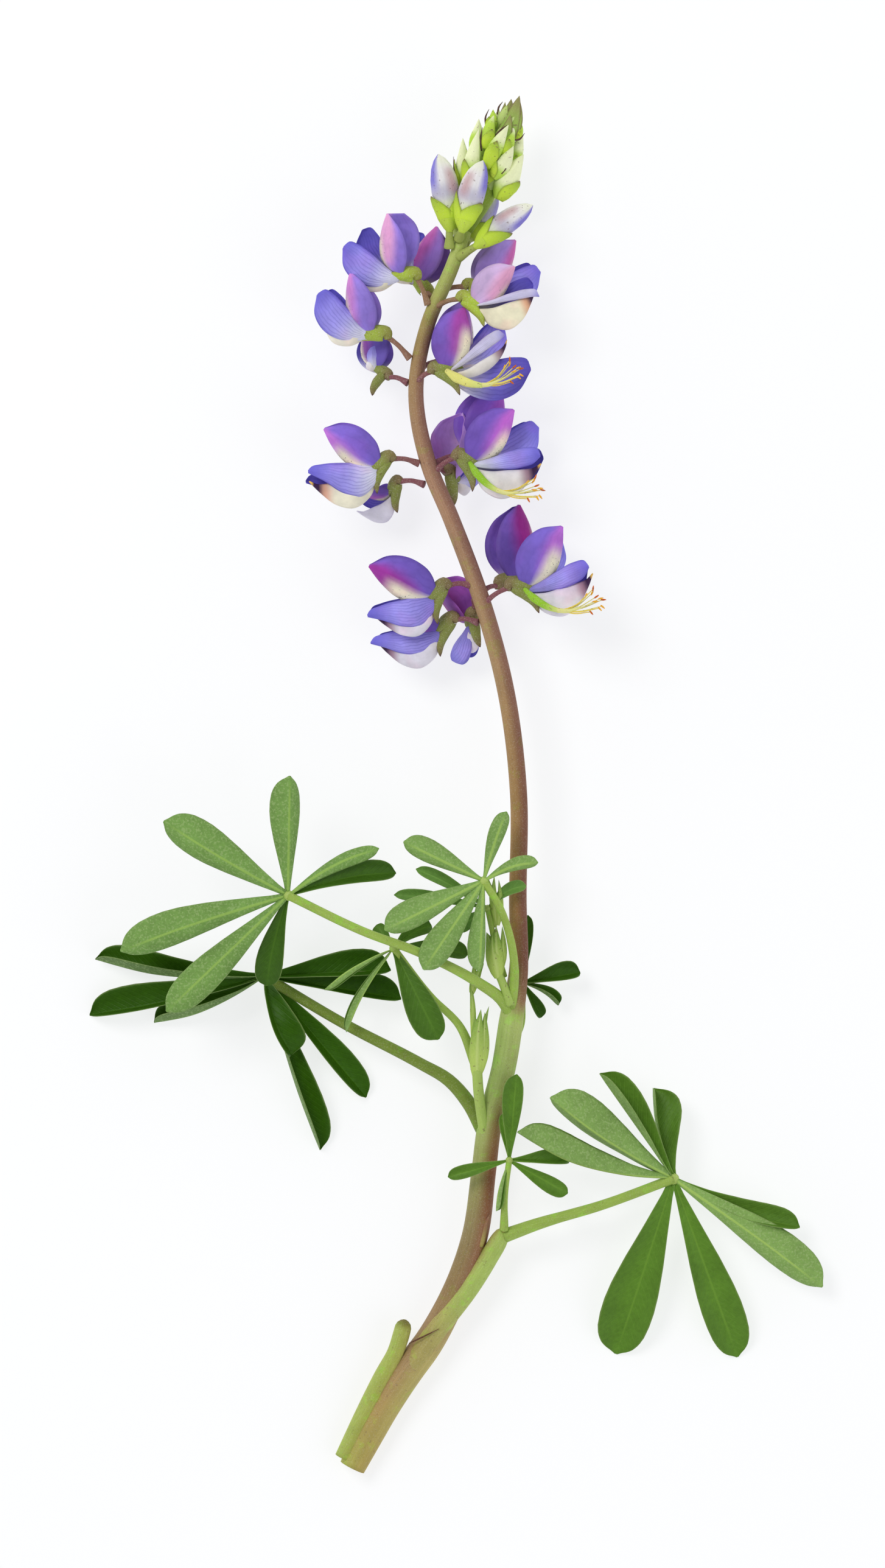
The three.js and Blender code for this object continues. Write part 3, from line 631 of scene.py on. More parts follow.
def half_angles(left, right):
    """Widths of a leaflet's two halves and the angles they are folded up by, to reach across as asked."""
    widths, angles = [], []
    most = max(abs(left), abs(right))
    for reach in (left, right):
        widths.append(max(abs(reach) * 1.04, most * 0.8))
        angles.append(math.acos(reach / widths[-1]))
    spare = math.radians(168) - sum(angles)
    if spare < 0:
        angles = [a + spare * (a < math.pi / 2) for a in angles]
    return widths, angles


def midline(hub, tip, rise, bow, ts):
    """The midrib from the hub to the tip, and its straight length."""
    chord = tip - hub
    length = np.linalg.norm(chord)
    direction = chord / length
    sideways = unit(np.cross((0, 0, 1), direction))
    low = hub + chord * 0.3 + np.array([0, 0, rise * 0.75]) + sideways * bow * 0.8
    middle = hub + chord * 0.65 + np.array([0, 0, rise * 0.85]) + sideways * bow
    return spline([hub + direction * 0.2, low, middle, tip], ts), length


def leaflet(hub, row, leaf, seed):
    x, y, z, left, right, face, rise, bow = row
    rng = np.random.default_rng(seed)
    ts = 1 - (1 - np.linspace(0, 1, 37)) ** 1.6
    path, length = midline(hub, np.array([x, y, z], float), rise, bow, ts)
    _, n, b = along(path, np.array([0, 0, float(face)]))
    (w_left, w_right), (a_left, a_right) = half_angles(left, right)
    if face < 0:
        w_left, w_right, a_left, a_right = w_right, w_left, a_right, a_left
    u, v = spread_over(np.linspace(-1, 1, 19), ts)
    shape = np.interp(ts, LEAFLET_TS, LEAFLET_WIDTHS)[:, None]
    width = np.where(u > 0, w_left, w_right) * shape
    fold = np.where(u > 0, a_left, a_right) * (0.85 + 0.15 * step(v, 0.0, 0.4))
    reach = np.abs(u) * width
    wave = 0.05 * width * np.sin(v * 11 + rng.uniform(0, 6) + u) * u ** 2
    crest = 0.2 * np.exp(-(reach / 0.28) ** 2) * (1 - v)
    out = np.sign(u) * reach * np.cos(fold)
    height = reach * np.sin(fold) - 0.1 * width * np.sin(math.pi * np.abs(u)) + wave - crest
    grid = path[:, None] + b[:, None] * out[..., None] + n[:, None] * height[..., None]
    detail = np.stack([width, v * length, np.full(u.shape, RIB_STRENGTH)], 2)
    tint = 1 + rng.uniform(-0.07, 0.07)

    def side(colour):
        return lambda p, q: mix(colour * tint * 1.08, colour * tint * 0.9, np.abs(p) * step(q, 0.0, 0.5))
    return sheet(grid, u, v, LEAF_THICKNESS, side(leaf["upper"]), side(leaf["under"]), 0, detail, edge=9.0)


def leaf_piece(name, leaf):
    points = np.array(leaf["petiole"], float)
    hub = points[-1]
    r = leaf["radius"]
    green = mix(rgb(158, 186, 84), rgb(120, 142, 56), name == "leaf_b")

    # The stalk is darker on its underside: painted shade.
    def shaded_stalk_tone(u, v):
        return mix(green, green * 0.72, step(np.cos(u * 2 * math.pi), 0.3, -0.8))
    parts = [tube(points, [r * 1.5, r * 1.1, r, r], shaded_stalk_tone, 12, 40, material=1)]
    knob = [hub - (0, 0, 0.7), hub, hub + (0, 0, 0.7)]
    parts.append(tube(knob, [r * 0.6, r * 1.25, r * 0.6], rgb(176, 200, 104), 12, 6, (0, 1, 0), material=1))
    for k, row in enumerate(leaf["leaflets"]):
        parts.append(leaflet(hub, row, leaf, 17 * k + len(name)))
    return build(name + "_visual", parts, [LEAF, STEM], [name])


# ---- Flowers ------------------------------------------------------------------------------------

class FlowerFrame:
    """Places (forward, up, across) millimetres of a flower in the layout."""

    def __init__(self, base, heading, hand, lift, roll, scale):
        h, l, r = (math.radians(a) for a in (heading, lift, roll))
        flat = np.array([math.cos(h), math.sin(h), 0])
        up = np.array([-flat[1], flat[0], 0]) * hand
        z = np.array([0, 0, 1.0])
        self.forward = flat * math.cos(l) + z * math.sin(l)
        across = z * math.cos(l) - flat * math.sin(l)
        self.up = up * math.cos(r) + across * math.sin(r)
        self.across = across * math.cos(r) - up * math.sin(r)
        self.base = np.asarray(base, float)
        self.scale = scale
        self.hand = hand

    def place(self, points):
        p = np.asarray(points, float) * self.scale
        return self.base + p[..., :1] * self.forward + p[..., 1:2] * self.up + p[..., 2:3] * self.across


# Rails of the petals seen from the side, in (forward, up) millimetres from the middle of the calyx.
BANNER_MIDLINE = [(2.2, -1.8), (4.9, -2.1), (6.9, -1.6), (8.6, -0.3), (10.6, 2.4), (12.3, 5.8)]
BANNER_MARGIN = [(1.5, -1.6), (1.3, 0.4), (2.0, 3.1), (4.4, 5.6), (8.4, 6.9), (12.0, 6.2)]
WING_TOP = [(1.7, -1.9), (5.4, -1.2), (9.1, -0.2), (12.4, 0.3), (14.4, 0.0), (15.0, -1.4)]
WING_BOTTOM = [(1.7, -2.7), (3.6, -4.7), (6.6, -6.3), (9.9, -6.6), (13.0, -5.2), (15.0, -1.9)]
DROOPED_TOP = [(1.5, -2.2), (5.0, -1.2), (9.0, -1.0), (13.0, -1.3), (15.0, -1.8), (15.6, -2.5)]
DROOPED_BOTTOM = [(1.5, -3.4), (2.6, -5.6), (5.0, -7.6), (8.6, -6.9), (12.4, -4.6), (15.6, -3.0)]
KEEL_BOTTOM = [(1.9, -3.6), (3.4, -7.6), (6.6, -9.8), (10.0, -9.1), (13.2, -6.6), (15.4, -4.4)]
KEEL_TOP = [(2.3, -3.0), (5.2, -4.2), (8.6, -4.6), (11.6, -4.9), (13.8, -4.9), (15.3, -4.2)]
CALYX_LIP = [(-0.8, -1.0), (1.0, -3.0), (2.2, -4.9), (2.7, -6.8)]
CLAW = (2.0, -2.0)
FILAMENTS = 11
LIP_ROLL = 42.0  # how far the calyx lip turns its face from below towards the viewer, degrees

CREAM = rgb(246, 240, 208)
LILAC_WHITE = rgb(228, 224, 238)
WING_BASE = rgb(222, 222, 242)
OLD_WING = rgb(140, 130, 214)
WING_MID = rgb(164, 156, 242)
WING_EDGE = rgb(96, 88, 208)
# The far wing lies underneath and gets darker blues than the near one: painted shade.
SHADED_FAR_WING_MID = rgb(120, 110, 212)
SHADED_FAR_WING_EDGE = rgb(86, 77, 182)

# Open flowers, youngest whorl first. Every flower has:
#   root: where its stalk leaves the stem; age: 0 just open, 1 oldest;
#   place: middle of the calyx, heading of the keel in the XY plane, hand (+1 for a flower that points
#     right, -1 left), lift towards +Z, roll, scale;
#   pitch: banner, near wing, far wing, keel, calyx lip, degrees; sizes: banner, near wing, far wing, keel;
#   outer, flush: colours of the banner; reach: how far the flush spreads from its fold;
#   patch: half-width of its cream patch.
# Some have: far: how far the banner's far half sits forward and up, mm; slim: depth of the banner;
#   wide: its breadth; narrow: how much of the near wing's depth is seen; keel_depth: depth of the keel;
#   drooped: wings that hang; cream: a keel that stays cream; stamens: a pod and filaments that show.
FLOWERS = [
    dict(name="w1_left", root=(-5.6, 95.0, 15.6), age=0.1,
         place=((-8.6, 101.0, 17.2), 152, -1, 8, 12, 1.0), pitch=(13, -1, 22, 10, 33),
         sizes=(1.0, 0.97, 0.9, 0.78), outer=(152, 128, 226), flush=(232, 168, 216), reach=0.66, patch=0.14,
         far=(-3.0, 1.6), slim=0.72),
    dict(name="w1_left_back", root=(-5.2, 96.4, 14.0), age=0.2,
         place=((-5.9, 98.4, 10.6), 102, -1, -18, 10, 0.95), pitch=(-6, 0, 10, 6, 30),
         sizes=(1.0, 0.95, 0.9, 0.7), outer=(138, 104, 190), flush=(186, 92, 172), reach=0.6, patch=0.1),
    dict(name="w1_right_back", root=(-3.6, 97.4, 14.4), age=0.15,
         place=((2.6, 99.2, 12.0), 12, 1, -12, 6, 0.92), pitch=(6, 6, 10, 10, 20),
         sizes=(1.05, 1.05, 1.0, 0.6), outer=(168, 140, 218), flush=(206, 104, 176), reach=0.42, patch=0.1),
    dict(name="w1_right", root=(-4.4, 94.4, 15.4), age=0.05,
         place=((1.6, 96.3, 18.0), 5, 1, 4, -4, 0.98), pitch=(2, 0, 15, 20, 7),
         sizes=(0.86, 1.0, 0.95, 0.92), outer=(212, 184, 228), flush=(232, 168, 204), reach=0.55, patch=0.12,
         far=(-0.4, 0.3), narrow=0.27, cream=True),
    dict(name="w2_left", root=(-9.2, 84.4, 15.4), age=0.25,
         place=((-14.4, 89.4, 16.8), 145, -1, 6, 10, 1.0), pitch=(0, 2, 6, 12, 17),
         sizes=(1.0, 1.0, 0.92, 0.8), outer=(146, 124, 214), flush=(208, 138, 212), reach=0.44, patch=0.12,
         far=(-2.0, -0.6), slim=0.8),
    dict(name="w2_left_low", root=(-9.6, 79.6, 15.0), age=0.6,
         place=((-13.8, 81.6, 12.8), 112, -1, -28, 0, 0.8), pitch=(-28, 22, 10, 12, -72),
         sizes=(1.05, 0.5, 0.9, 0.3), outer=(116, 96, 196), flush=(150, 84, 176), reach=0.5, patch=0.1),
    dict(name="w2_right_back", root=(-7.4, 82.2, 14.4), age=0.45,
         place=((-2.4, 84.8, 10.6), 22, 1, -14, 4, 0.98), pitch=(24, 17, 19, 14, 10),
         sizes=(1.0, 0.95, 0.9, 0.6), outer=(142, 112, 208), flush=(156, 84, 182), reach=0.4, patch=0.1),
    dict(name="w2_right", root=(-8.0, 79.6, 15.8), age=0.5,
         place=((-4.0, 82.4, 18.0), 30, 1, 6, -8, 1.0), pitch=(10, 0, -30, 8, -12),
         sizes=(1.0, 1.0, 1.22, 0.95), outer=(128, 98, 198), flush=(172, 78, 176), reach=0.62, patch=0.3,
         narrow=0.36, keel_depth=0.4, stamens=True),
    dict(name="w3_left", root=(-7.4, 63.7, 15.6), age=0.5,
         place=((-13.7, 64.8, 17.0), 180, -1, 5, 8, 1.0), pitch=(-2, 0, -9, -2, -8),
         sizes=(1.0, 1.0, 1.04, 1.0), outer=(134, 108, 214), flush=(198, 122, 222), reach=0.42, patch=0.3,
         drooped=True, cream=True),
    dict(name="w3_left_low", root=(-6.4, 59.6, 15.0), age=0.8,
         place=((-11.9, 60.3, 12.4), 200, -1, -30, 0, 0.84), pitch=(-30, 24, 14, 4, -4),
         sizes=(0.5, 0.9, 0.8, 0.8), outer=(120, 90, 180), flush=(160, 90, 180), reach=0.5, patch=0.2,
         narrow=0.3),
    dict(name="w3_back", root=(-5.2, 62.4, 14.0), age=0.6,
         place=((-1.3, 62.4, 12.4), 0, 1, -55, 0, 0.95), pitch=(42, 20, 20, 20, -20),
         sizes=(1.12, 0.6, 0.6, 0.5), outer=(204, 158, 238), flush=(238, 214, 244), reach=0.3, patch=0.1,
         wide=1.4),
    dict(name="w3_right_back", root=(-4.6, 63.6, 14.6), age=0.6,
         place=((1.4, 66.2, 11.6), 23, 1, -10, 2, 1.04), pitch=(10, 2, 4, 14, 0),
         sizes=(1.1, 1.0, 0.95, 0.6), outer=(134, 96, 200), flush=(150, 78, 180), reach=0.5, patch=0.1,
         far=(-1.6, 0.6)),
    dict(name="w3_right", root=(-4.2, 62.2, 15.8), age=0.6,
         place=((0.8, 65.2, 18.0), 8, 1, 4, -6, 1.04), pitch=(7, -4, -4, 2, -13),
         sizes=(1.0, 1.0, 1.03, 0.96), outer=(124, 94, 196), flush=(194, 106, 212), reach=0.52, patch=0.26,
         narrow=0.56, stamens=True),
    dict(name="w4_left", root=(2.6, 39.8, 15.8), age=0.9,
         place=((-2.8, 39.6, 17.2), 190, -1, 4, 6, 1.04), pitch=(-2, -2, 0, 2, -6),
         sizes=(1.06, 0.96, 0.9, 0.86), outer=(118, 94, 194), flush=(160, 56, 160), reach=0.62, patch=0.36,
         narrow=0.86, drooped=True),
    dict(name="w4_left_low", root=(4.2, 32.4, 15.4), age=0.95,
         place=((-1.2, 33.2, 13.0), 185, -1, -6, 4, 1.05), pitch=(-24, -2, 0, 4, -2),
         sizes=(0.8, 0.98, 0.9, 0.9), outer=(112, 88, 190), flush=(150, 60, 160), reach=0.6, patch=0.2,
         narrow=0.74, drooped=True),
    dict(name="w4_back", root=(3.6, 37.0, 13.8), age=1.0,
         place=((3.0, 34.2, 12.4), 200, -1, -58, 0, 0.92), pitch=(24, -34, -30, -24, -20),
         sizes=(1.0, 0.85, 0.8, 0.6), outer=(164, 96, 190), flush=(156, 40, 132), reach=0.6, patch=0.1,
         wide=1.3),
    dict(name="w4_right_back", root=(5.0, 38.6, 14.6), age=1.0,
         place=((9.2, 40.6, 11.4), 46, 1, -10, 8, 1.12), pitch=(6, -4, 0, 14, 0),
         sizes=(1.05, 0.8, 0.85, 0.5), outer=(118, 90, 184), flush=(154, 36, 138), reach=0.62, patch=0.06,
         far=(-1.0, 0.4)),
    dict(name="w4_right", root=(5.2, 36.0, 15.8), age=0.85,
         place=((11.3, 39.9, 18.0), 21, 1, 5, -8, 1.06), pitch=(3, -3, -2, 3, -2),
         sizes=(1.04, 0.94, 0.9, 0.92), outer=(126, 104, 206), flush=(186, 112, 216), reach=0.5, patch=0.36,
         narrow=0.62, stamens=True),
]


def posed(points, degrees, size, pivot=CLAW):
    """(forward, up) points turned about a pivot in the flower's upright plane, and scaled from it."""
    x, y = (np.asarray(points, float) - pivot).T
    a = math.radians(degrees)
    swung = np.stack([x * math.cos(a) - y * math.sin(a), x * math.sin(a) + y * math.cos(a)], 1)
    return swung * size + pivot


def flat_rail(points, vs):
    """A rail in the flower's upright plane, smoothly sampled, as (forward, up, across)."""
    return spline([(p[0], p[1], 0) for p in points], vs)


def banner_tones(flower):
    """Blue-violet towards the margin, flushed by the fold and tip, with a cream patch low on the fold."""
    outer, flush = rgb(*flower["outer"]), rgb(*flower["flush"])
    reach, patch = flower["reach"], flower["patch"]

    def front(u, v):
        s = np.abs(u)
        base = mix(outer * 1.12, outer * 0.86, step(v, 0.9, 0.3) * step(s, 0.2, 0.8))
        spread = reach * (0.55 + 0.75 * v)
        base = mix(base, flush, step(s - spread, 0.22, -0.2) * step(v, 0.08, 0.4))
        base = mix(base, flush * 1.15, step(v, 0.86, 1.0) * 0.6)
        base = mix(base, CREAM, step(s, patch + 0.14, patch - 0.12) * step(v, 0.78, 0.5))
        return mix(base, outer * 0.72, step(s, 0.94, 1.0) * 0.5)

    def back(u, v):
        s = np.abs(u)
        base = mix(outer, flush, step(s, 0.45, 0.1) * 0.55)
        return mix(base, CREAM, step(v, 0.28, 0.05) * 0.5)
    return front, back


def wing_tones(near, pale, old):
    """Pale at the claw and blue at the rim, with darker blues on the far wing as painted shade; `old` takes
    the pale base away and `pale` whitens it all.
    """
    mid, rim = (WING_MID, WING_EDGE) if near else (SHADED_FAR_WING_MID, SHADED_FAR_WING_EDGE)

    def side(u, v):
        base = mix(mix(WING_BASE, OLD_WING, old), mid, step(v, 0.1, 0.55))
        base = mix(base, rim, step(v, 0.5, 1.0) * 0.8)
        base = mix(base, rim, step(np.abs(u), 0.72, 1.0) * step(v, 0.25, 0.6) * 0.7)
        return mix(base, rgb(224, 220, 236), pale * step(v, 1.1, 0.8))
    return side, side


def keel_tones(age, showing):
    """Cream, then lilac-white with age; a keel that is showing has a blushed end and a dark tip."""
    body = mix(CREAM, LILAC_WHITE, min(1, age * 1.25))
    blush = mix(rgb(232, 150, 104), rgb(132, 66, 104), min(1, age * 2))

    def side(u, v):
        base = mix(body, rgb(190, 176, 150), step(v, 0.3, 0.05) * 0.3)
        base = mix(base, blush, step(v, 0.62, 0.78) * 0.75 * showing)
        base = mix(base, rgb(60, 34, 72), step(v, 0.76, 0.86) * showing)
        return mix(base, rgb(236, 190, 96), step(v, 0.93, 0.97) * showing)
    return side, side


def folded_petal(frame_, fold, margin, spread, profile, tones, veins=0.0, dots=0.0, far=(0.0, 0.0)):
    """A petal of two halves about a fold; the margin stands `spread` off the middle plane."""
    vs = np.linspace(0, 1, 29)
    us = np.linspace(-1, 1, 21)
    a, b = flat_rail(fold, vs), flat_rail(margin, vs)
    s = np.abs(us)
    share = (s ** 1.25)[None, :, None]
    grid = a[:, None] * (1 - share) + b[:, None] * share
    grid[..., 2] += sample(spread, vs)[:, None] * profile(s)[None, :] * np.sign(us)[None, :]
    behind = np.where(us < 0, s, 0)[None, :] * np.sin(vs * math.pi * 0.62)[:, None]
    grid[..., 0] += behind * far[0]
    grid[..., 1] += behind * far[1]
    u, v = spread_over(us, vs)
    speckle = dots * step(np.abs(u), 0.4, 0.05) * step(v, 0.9, 0.3)
    detail = np.stack([np.full(u.shape, veins), speckle, np.zeros(u.shape)], 2)
    inside, outside = tones if frame_.hand > 0 else tones[::-1]
    return sheet(frame_.place(grid), u, v, PETAL_THICKNESS, inside, outside, 0, detail)


def wing(frame_, side, top, bottom, tones):
    """One wing petal: it leaves the claw beside the keel and bulges outward."""
    vs = np.linspace(0, 1, 29)
    us = np.linspace(-1, 1, 13)
    a, b = flat_rail(top, vs), flat_rail(bottom, vs)
    share = ((us + 1) / 2)[None, :, None]
    grid = a[:, None] * (1 - share) + b[:, None] * share
    u, v = spread_over(us, vs)
    bulge = 1.5 * np.sin(math.pi * (u + 1) / 2 * 0.9) * np.sin(math.pi * np.clip(v * 0.9, 0, 1))
    ripple = 0.08 * np.sin(u * 9 + v * 2) * np.sin(math.pi * v)
    grid[..., 2] += side * (0.6 + bulge + ripple + 0.5 * v)
    detail = np.stack([step(v, 1.1, 0.35), np.zeros(u.shape), np.zeros(u.shape)], 2)
    return sheet(frame_.place(grid), u, v, PETAL_THICKNESS, *tones, 0, detail)


def calyx_parts(frame_, flower):
    """Calyx: the cupped lower lip and the humped tube, on its stalk."""
    old = min(1, flower["age"] * 1.8)
    green = mix(rgb(186, 212, 72), rgb(136, 144, 74), old)
    brown = mix(rgb(150, 146, 70), rgb(128, 96, 80), old)

    def lip_tone(u, v):
        base = mix(green, brown, step(v, 0.5, 0.95) * 0.6)
        base = mix(base, brown * 0.8, step(np.abs(u), 0.8, 1.0) * 0.6)
        return mix(base, rgb(92, 52, 66), step(v, 0.9, 1.0))

    def hump_tone(u, v):
        return mix(green, brown, 0.7 * step(v, 0.7, 0.1))

    hump = frame_.place([(-1.5, -0.5, 0), (-0.5, 0.3, 0), (0.7, -0.3, 0), (2.0, -1.5, 0), (2.8, -2.1, 0)])
    root, end = np.array(flower["root"], float), frame_.place((-0.9, -0.2, 0))
    sag = (root + end) / 2 + np.array([0, 0.4, 0])
    stalk = mix(rgb(172, 142, 92), rgb(136, 84, 92), min(1, 0.3 + flower["age"] * 1.2))
    return [
        calyx_lip(frame_, flower["pitch"][-1], lip_tone),
        tube(hump, np.array([0.75, 1.3, 1.4, 1.25, 0.8]) * frame_.scale, hump_tone, 14, 16, frame_.across),
        tube([root, sag, end], [0.8, 0.52, 0.48, 0.6], stalk, 10, 20),
    ]


def calyx_lip(frame_, pitch, tone):
    """The lower lip: a pointed scale, cupped round the keel and rolled towards the viewer."""
    vs = np.linspace(0, 1, 17)
    spine = flat_rail(posed(CALYX_LIP, pitch, 1.0, (0, -1)), vs)
    tangent = unit(np.gradient(spine, axis=0))
    inward = np.stack([-tangent[:, 1], tangent[:, 0], np.zeros(len(vs))], 1)
    width = 1.25 * np.interp(vs, (0, 0.15, 0.45, 0.75, 0.92, 1), (0.8, 1.0, 1.0, 0.68, 0.32, 0.04))
    us = np.linspace(-1, 1, 9)
    bend = us * 1.25
    deep = width[:, None] * (1 - np.cos(bend))[None, :]
    wide = width[:, None] * np.sin(bend)[None, :]
    roll = math.radians(LIP_ROLL)
    grid = spine[:, None] + inward[:, None] * (deep * math.cos(roll) + wide * math.sin(roll))[..., None]
    grid[..., 2] += 0.5 + wide * math.cos(roll) - deep * math.sin(roll)
    u, v = spread_over(us, vs)
    return sheet(frame_.place(grid), u, v, CALYX_THICKNESS, tone, tone)


def turned(v, axis, degrees):
    """v turned about a unit axis."""
    a = math.radians(degrees)
    v, axis = np.asarray(v, float), np.asarray(axis, float)
    return v * math.cos(a) + np.cross(axis, v) * math.sin(a) + axis * np.dot(axis, v) * (1 - math.cos(a))


def stamen_parts(frame_, flower):
    """The pod inside the keel and the filaments that come out of it."""
    rng = np.random.default_rng(len(flower["name"]) * 7)
    ripe, size = (rgb(150, 200, 44), 0.8) if flower["age"] > 0.55 else (rgb(236, 232, 128), 1.0)
    pod = [(1.6, -1.8, 1.4), (2.8, -4.4, 2.6), (4.8, -7.0, 3.1), (6.4, -8.3, 3.0)]
    pale_tip = [(6.0, -8.0, 3.0), (8.0, -8.9, 3.0), (10.2, -9.0, 2.9)]

    def pod_tone(u, v):
        return mix(ripe, rgb(222, 232, 132), step(v, 0.6, 1.0))
    parts = [tube(frame_.place(pod), np.array([0.5, 1.0, 0.85, 0.5]) * size, pod_tone, 12, 18),
             tube(frame_.place(pale_tip), [0.5, 0.42, 0.2], rgb(236, 234, 150), 8, 12)]
    for k in range(FILAMENTS):
        a, b, c = rng.uniform(-1, 1, 3)
        knee = (9.0 + 0.8 * a, -8.9 + 0.8 * b, 2.9 + 0.3 * c)
        tip = (12.6 + 1.9 * a, -8.4 + 2.3 * b, 3.0 + 1.2 * c)
        path = frame_.place([(4.4, -6.0, 2.9), (6.6, -8.1, 3.0), knee, tip])
        filament = rgb(236, 230, 150) if k % 3 else rgb(240, 214, 84)
        parts.append(tube(path, [0.18, 0.16, 0.13, 0.1], filament, 6, 14))
        way = unit(turned(unit(path[-1] - path[-2]), (0, 0, 1), 60 * b)) * frame_.scale
        anther = [path[-1] - way * 0.3, path[-1] + way * 0.2, path[-1] + way * 0.7]
        pollen = rgb(214, 104, 22) if k % 2 else rgb(244, 180, 40)
        parts.append(tube(anther, [0.12, 0.2, 0.08], pollen, 8, 5))
    return parts


def banner_part(frame_, flower):
    pitch, size = flower["pitch"][0], flower["sizes"][0]
    fold, margin = (posed(p, pitch, size) for p in (BANNER_MIDLINE, BANNER_MARGIN))
    margin = fold + (margin - fold) * flower.get("slim", 1.0)
    spread = np.array([0.5, 1.7, 2.6, 2.8, 2.1, 0.15]) * flower.get("wide", 1.0)
    return folded_petal(frame_, fold, margin, spread, lambda s: np.sin(s * math.pi / 2) ** 0.8,
                        banner_tones(flower), 0.25, 1.0, flower.get("far", (0.0, 0.0)))


def wing_parts(frame_, flower):
    """The near wing and the far one."""
    rails = (DROOPED_TOP, DROOPED_BOTTOM) if flower.get("drooped") else (WING_TOP, WING_BOTTOM)
    narrow = flower.get("narrow", 1)
    old = step(flower["age"], 0.6, 0.9)
    wings = []
    for side, pitch, size in zip((1, -1), flower["pitch"][1:3], flower["sizes"][1:3]):
        near = side == 1
        top, bottom = (posed(p, pitch, size) for p in rails)
        if near and narrow < 1:
            bottom = top + (bottom - top) * narrow
        pale = 0.75 if near and narrow < 0.5 else 0
        wings.append(wing(frame_, side, top, bottom, wing_tones(near, pale, old)))
    return wings


def keel_part(frame_, flower):
    pitch, size = flower["pitch"][3], flower["sizes"][3]
    low, high = (posed(p, pitch, size) for p in (KEEL_BOTTOM, KEEL_TOP))
    low = high + (low - high) * flower.get("keel_depth", 1.0)
    tones = keel_tones(flower["age"] * (0.3 if flower.get("cream") else 1), size > 0.85)
    return folded_petal(frame_, low, high, (0.8, 1.4, 1.5, 1.1, 0.6, 0.12),
                        lambda s: np.sin(s * math.pi * 0.62), tones)


def flower_pieces(flower):
    name, frame_ = flower["name"], FlowerFrame(*flower["place"])
    corolla = [f"corolla_{name}"]
    build(f"calyx_{name}_visual", calyx_parts(frame_, flower), [CALYX], [f"calyx_{name}"])
    build(f"banner_{name}", [banner_part(frame_, flower)], [PETAL], corolla)
    build(f"wings_{name}", wing_parts(frame_, flower), [PETAL], corolla)
    build(f"keel_{name}", [keel_part(frame_, flower)], [PETAL], corolla)
    if flower.get("stamens"):
        build(f"stamens_{name}", stamen_parts(frame_, flower), [CALYX], corolla)


# ---- Buds ---------------------------------------------------------------------------------------

POD_SHAPE = ((0, 0.12, 0.3, 0.48, 0.66, 0.82, 0.93, 1.0), (0.34, 0.66, 0.92, 1.0, 0.95, 0.74, 0.42, 0.04))
SLIM_SHAPE = ((0, 0.12, 0.3, 0.45, 0.6, 0.78, 0.92, 1.0), (0.4, 0.74, 0.98, 1.0, 0.84, 0.52, 0.22, 0.02))
GREEN_BUD = rgb(184, 218, 78)
PALE_BUD = rgb(242, 248, 200)
WHITE_BUD = rgb(238, 236, 238)


class Pod:
    """A curved spindle that can also carry scales on its surface."""

    def __init__(self, start, end, half, shape, flat=0.85, bend=0.0):
        start, end = np.asarray(start, float), np.asarray(end, float)
        chord = end - start
        side = unit(np.cross((0, 0, 1), chord))
        self.ts = np.linspace(0, 1, 41)
        bow = [start, start + chord * 0.35 + side * bend, start + chord * 0.7 + side * bend * 0.9, end]
        self.path = spline(bow, self.ts)
        _, self.n, self.b = along(self.path, np.array([0, 0, 1.0]))
        self.radius = half * np.interp(self.ts, *shape)
        self.flat = flat

    def at(self, v, angle, grow=0.0):
        """Surface points; angle 0 faces +Z, and a quarter turn faces left of the way the pod points."""
        path, n, b = (np.stack([np.interp(v, self.ts, rows[:, k]) for k in range(3)], -1)
                      for rows in (self.path, self.n, self.b))
        r = np.interp(v, self.ts, self.radius) + grow
        return path + n * (np.cos(angle) * r * self.flat)[..., None] + b * (np.sin(angle) * r)[..., None]

    def body(self, tone, rows=24, sides=18):
        v, angle = np.meshgrid(0.5 - 0.5 * np.cos(np.linspace(0, math.pi, rows + 1)),
                               np.linspace(0, 2 * math.pi, sides, endpoint=False), indexing="ij")
        return rings(self.at(v, angle), angle / (2 * math.pi), v, tone)

    def scale(self, side, reach, spread, tone, flare=0.4, start=0.0):
        """A pointed scale that hugs the pod, centred `side` degrees round it, up to `reach` along it."""
        s, q = np.meshgrid(np.linspace(0, 1, 15), np.linspace(-1, 1, 11), indexing="ij")
        outline = np.interp(s, (0, 0.25, 0.5, 0.8, 1), (1.25, 1.2, 1.0, 0.5, 0.03))
        angle = math.radians(side) + q * math.radians(spread) * outline
        grid = self.at(start + s * (reach - start), angle, 0.14 + flare * s ** 2)
        return sheet(grid, q, s, SCALE_THICKNESS, tone, tone)


def lip(start, end, half, tone, curve, cup=1.1):
    """A free pointed scale; `curve` bows it sideways."""
    start, end = np.asarray(start, float), np.asarray(end, float)
    chord = end - start
    side = unit(np.cross((0, 0, 1), chord))
    vs = np.linspace(0, 1, 15)
    us = np.linspace(-1, 1, 9)
    path = spline([start, start + chord * 0.5 + side * curve, end], vs)
    _, n, b = along(path, np.array([0, 0, 1.0]))
    width = half * np.interp(vs, (0, 0.2, 0.5, 0.8, 1), (0.75, 1.0, 0.9, 0.45, 0.03))
    bend = us * cup
    grid = (path[:, None] + b[:, None] * (width[:, None] * np.sin(bend)[None, :])[..., None]
            - n[:, None] * (width[:, None] * (1 - np.cos(bend))[None, :])[..., None])
    u, v = spread_over(us, vs)
    return sheet(grid, u, v, SCALE_THICKNESS, tone, tone)


def scale_tone(u, v):
    base = mix(rgb(202, 230, 68), rgb(166, 196, 62), step(v, 0.4, 0.95))
    base = mix(base, rgb(140, 156, 60), step(np.abs(u), 0.82, 1.0) * 0.6)
    return mix(base, rgb(112, 66, 70), step(v, 0.88, 1.0))


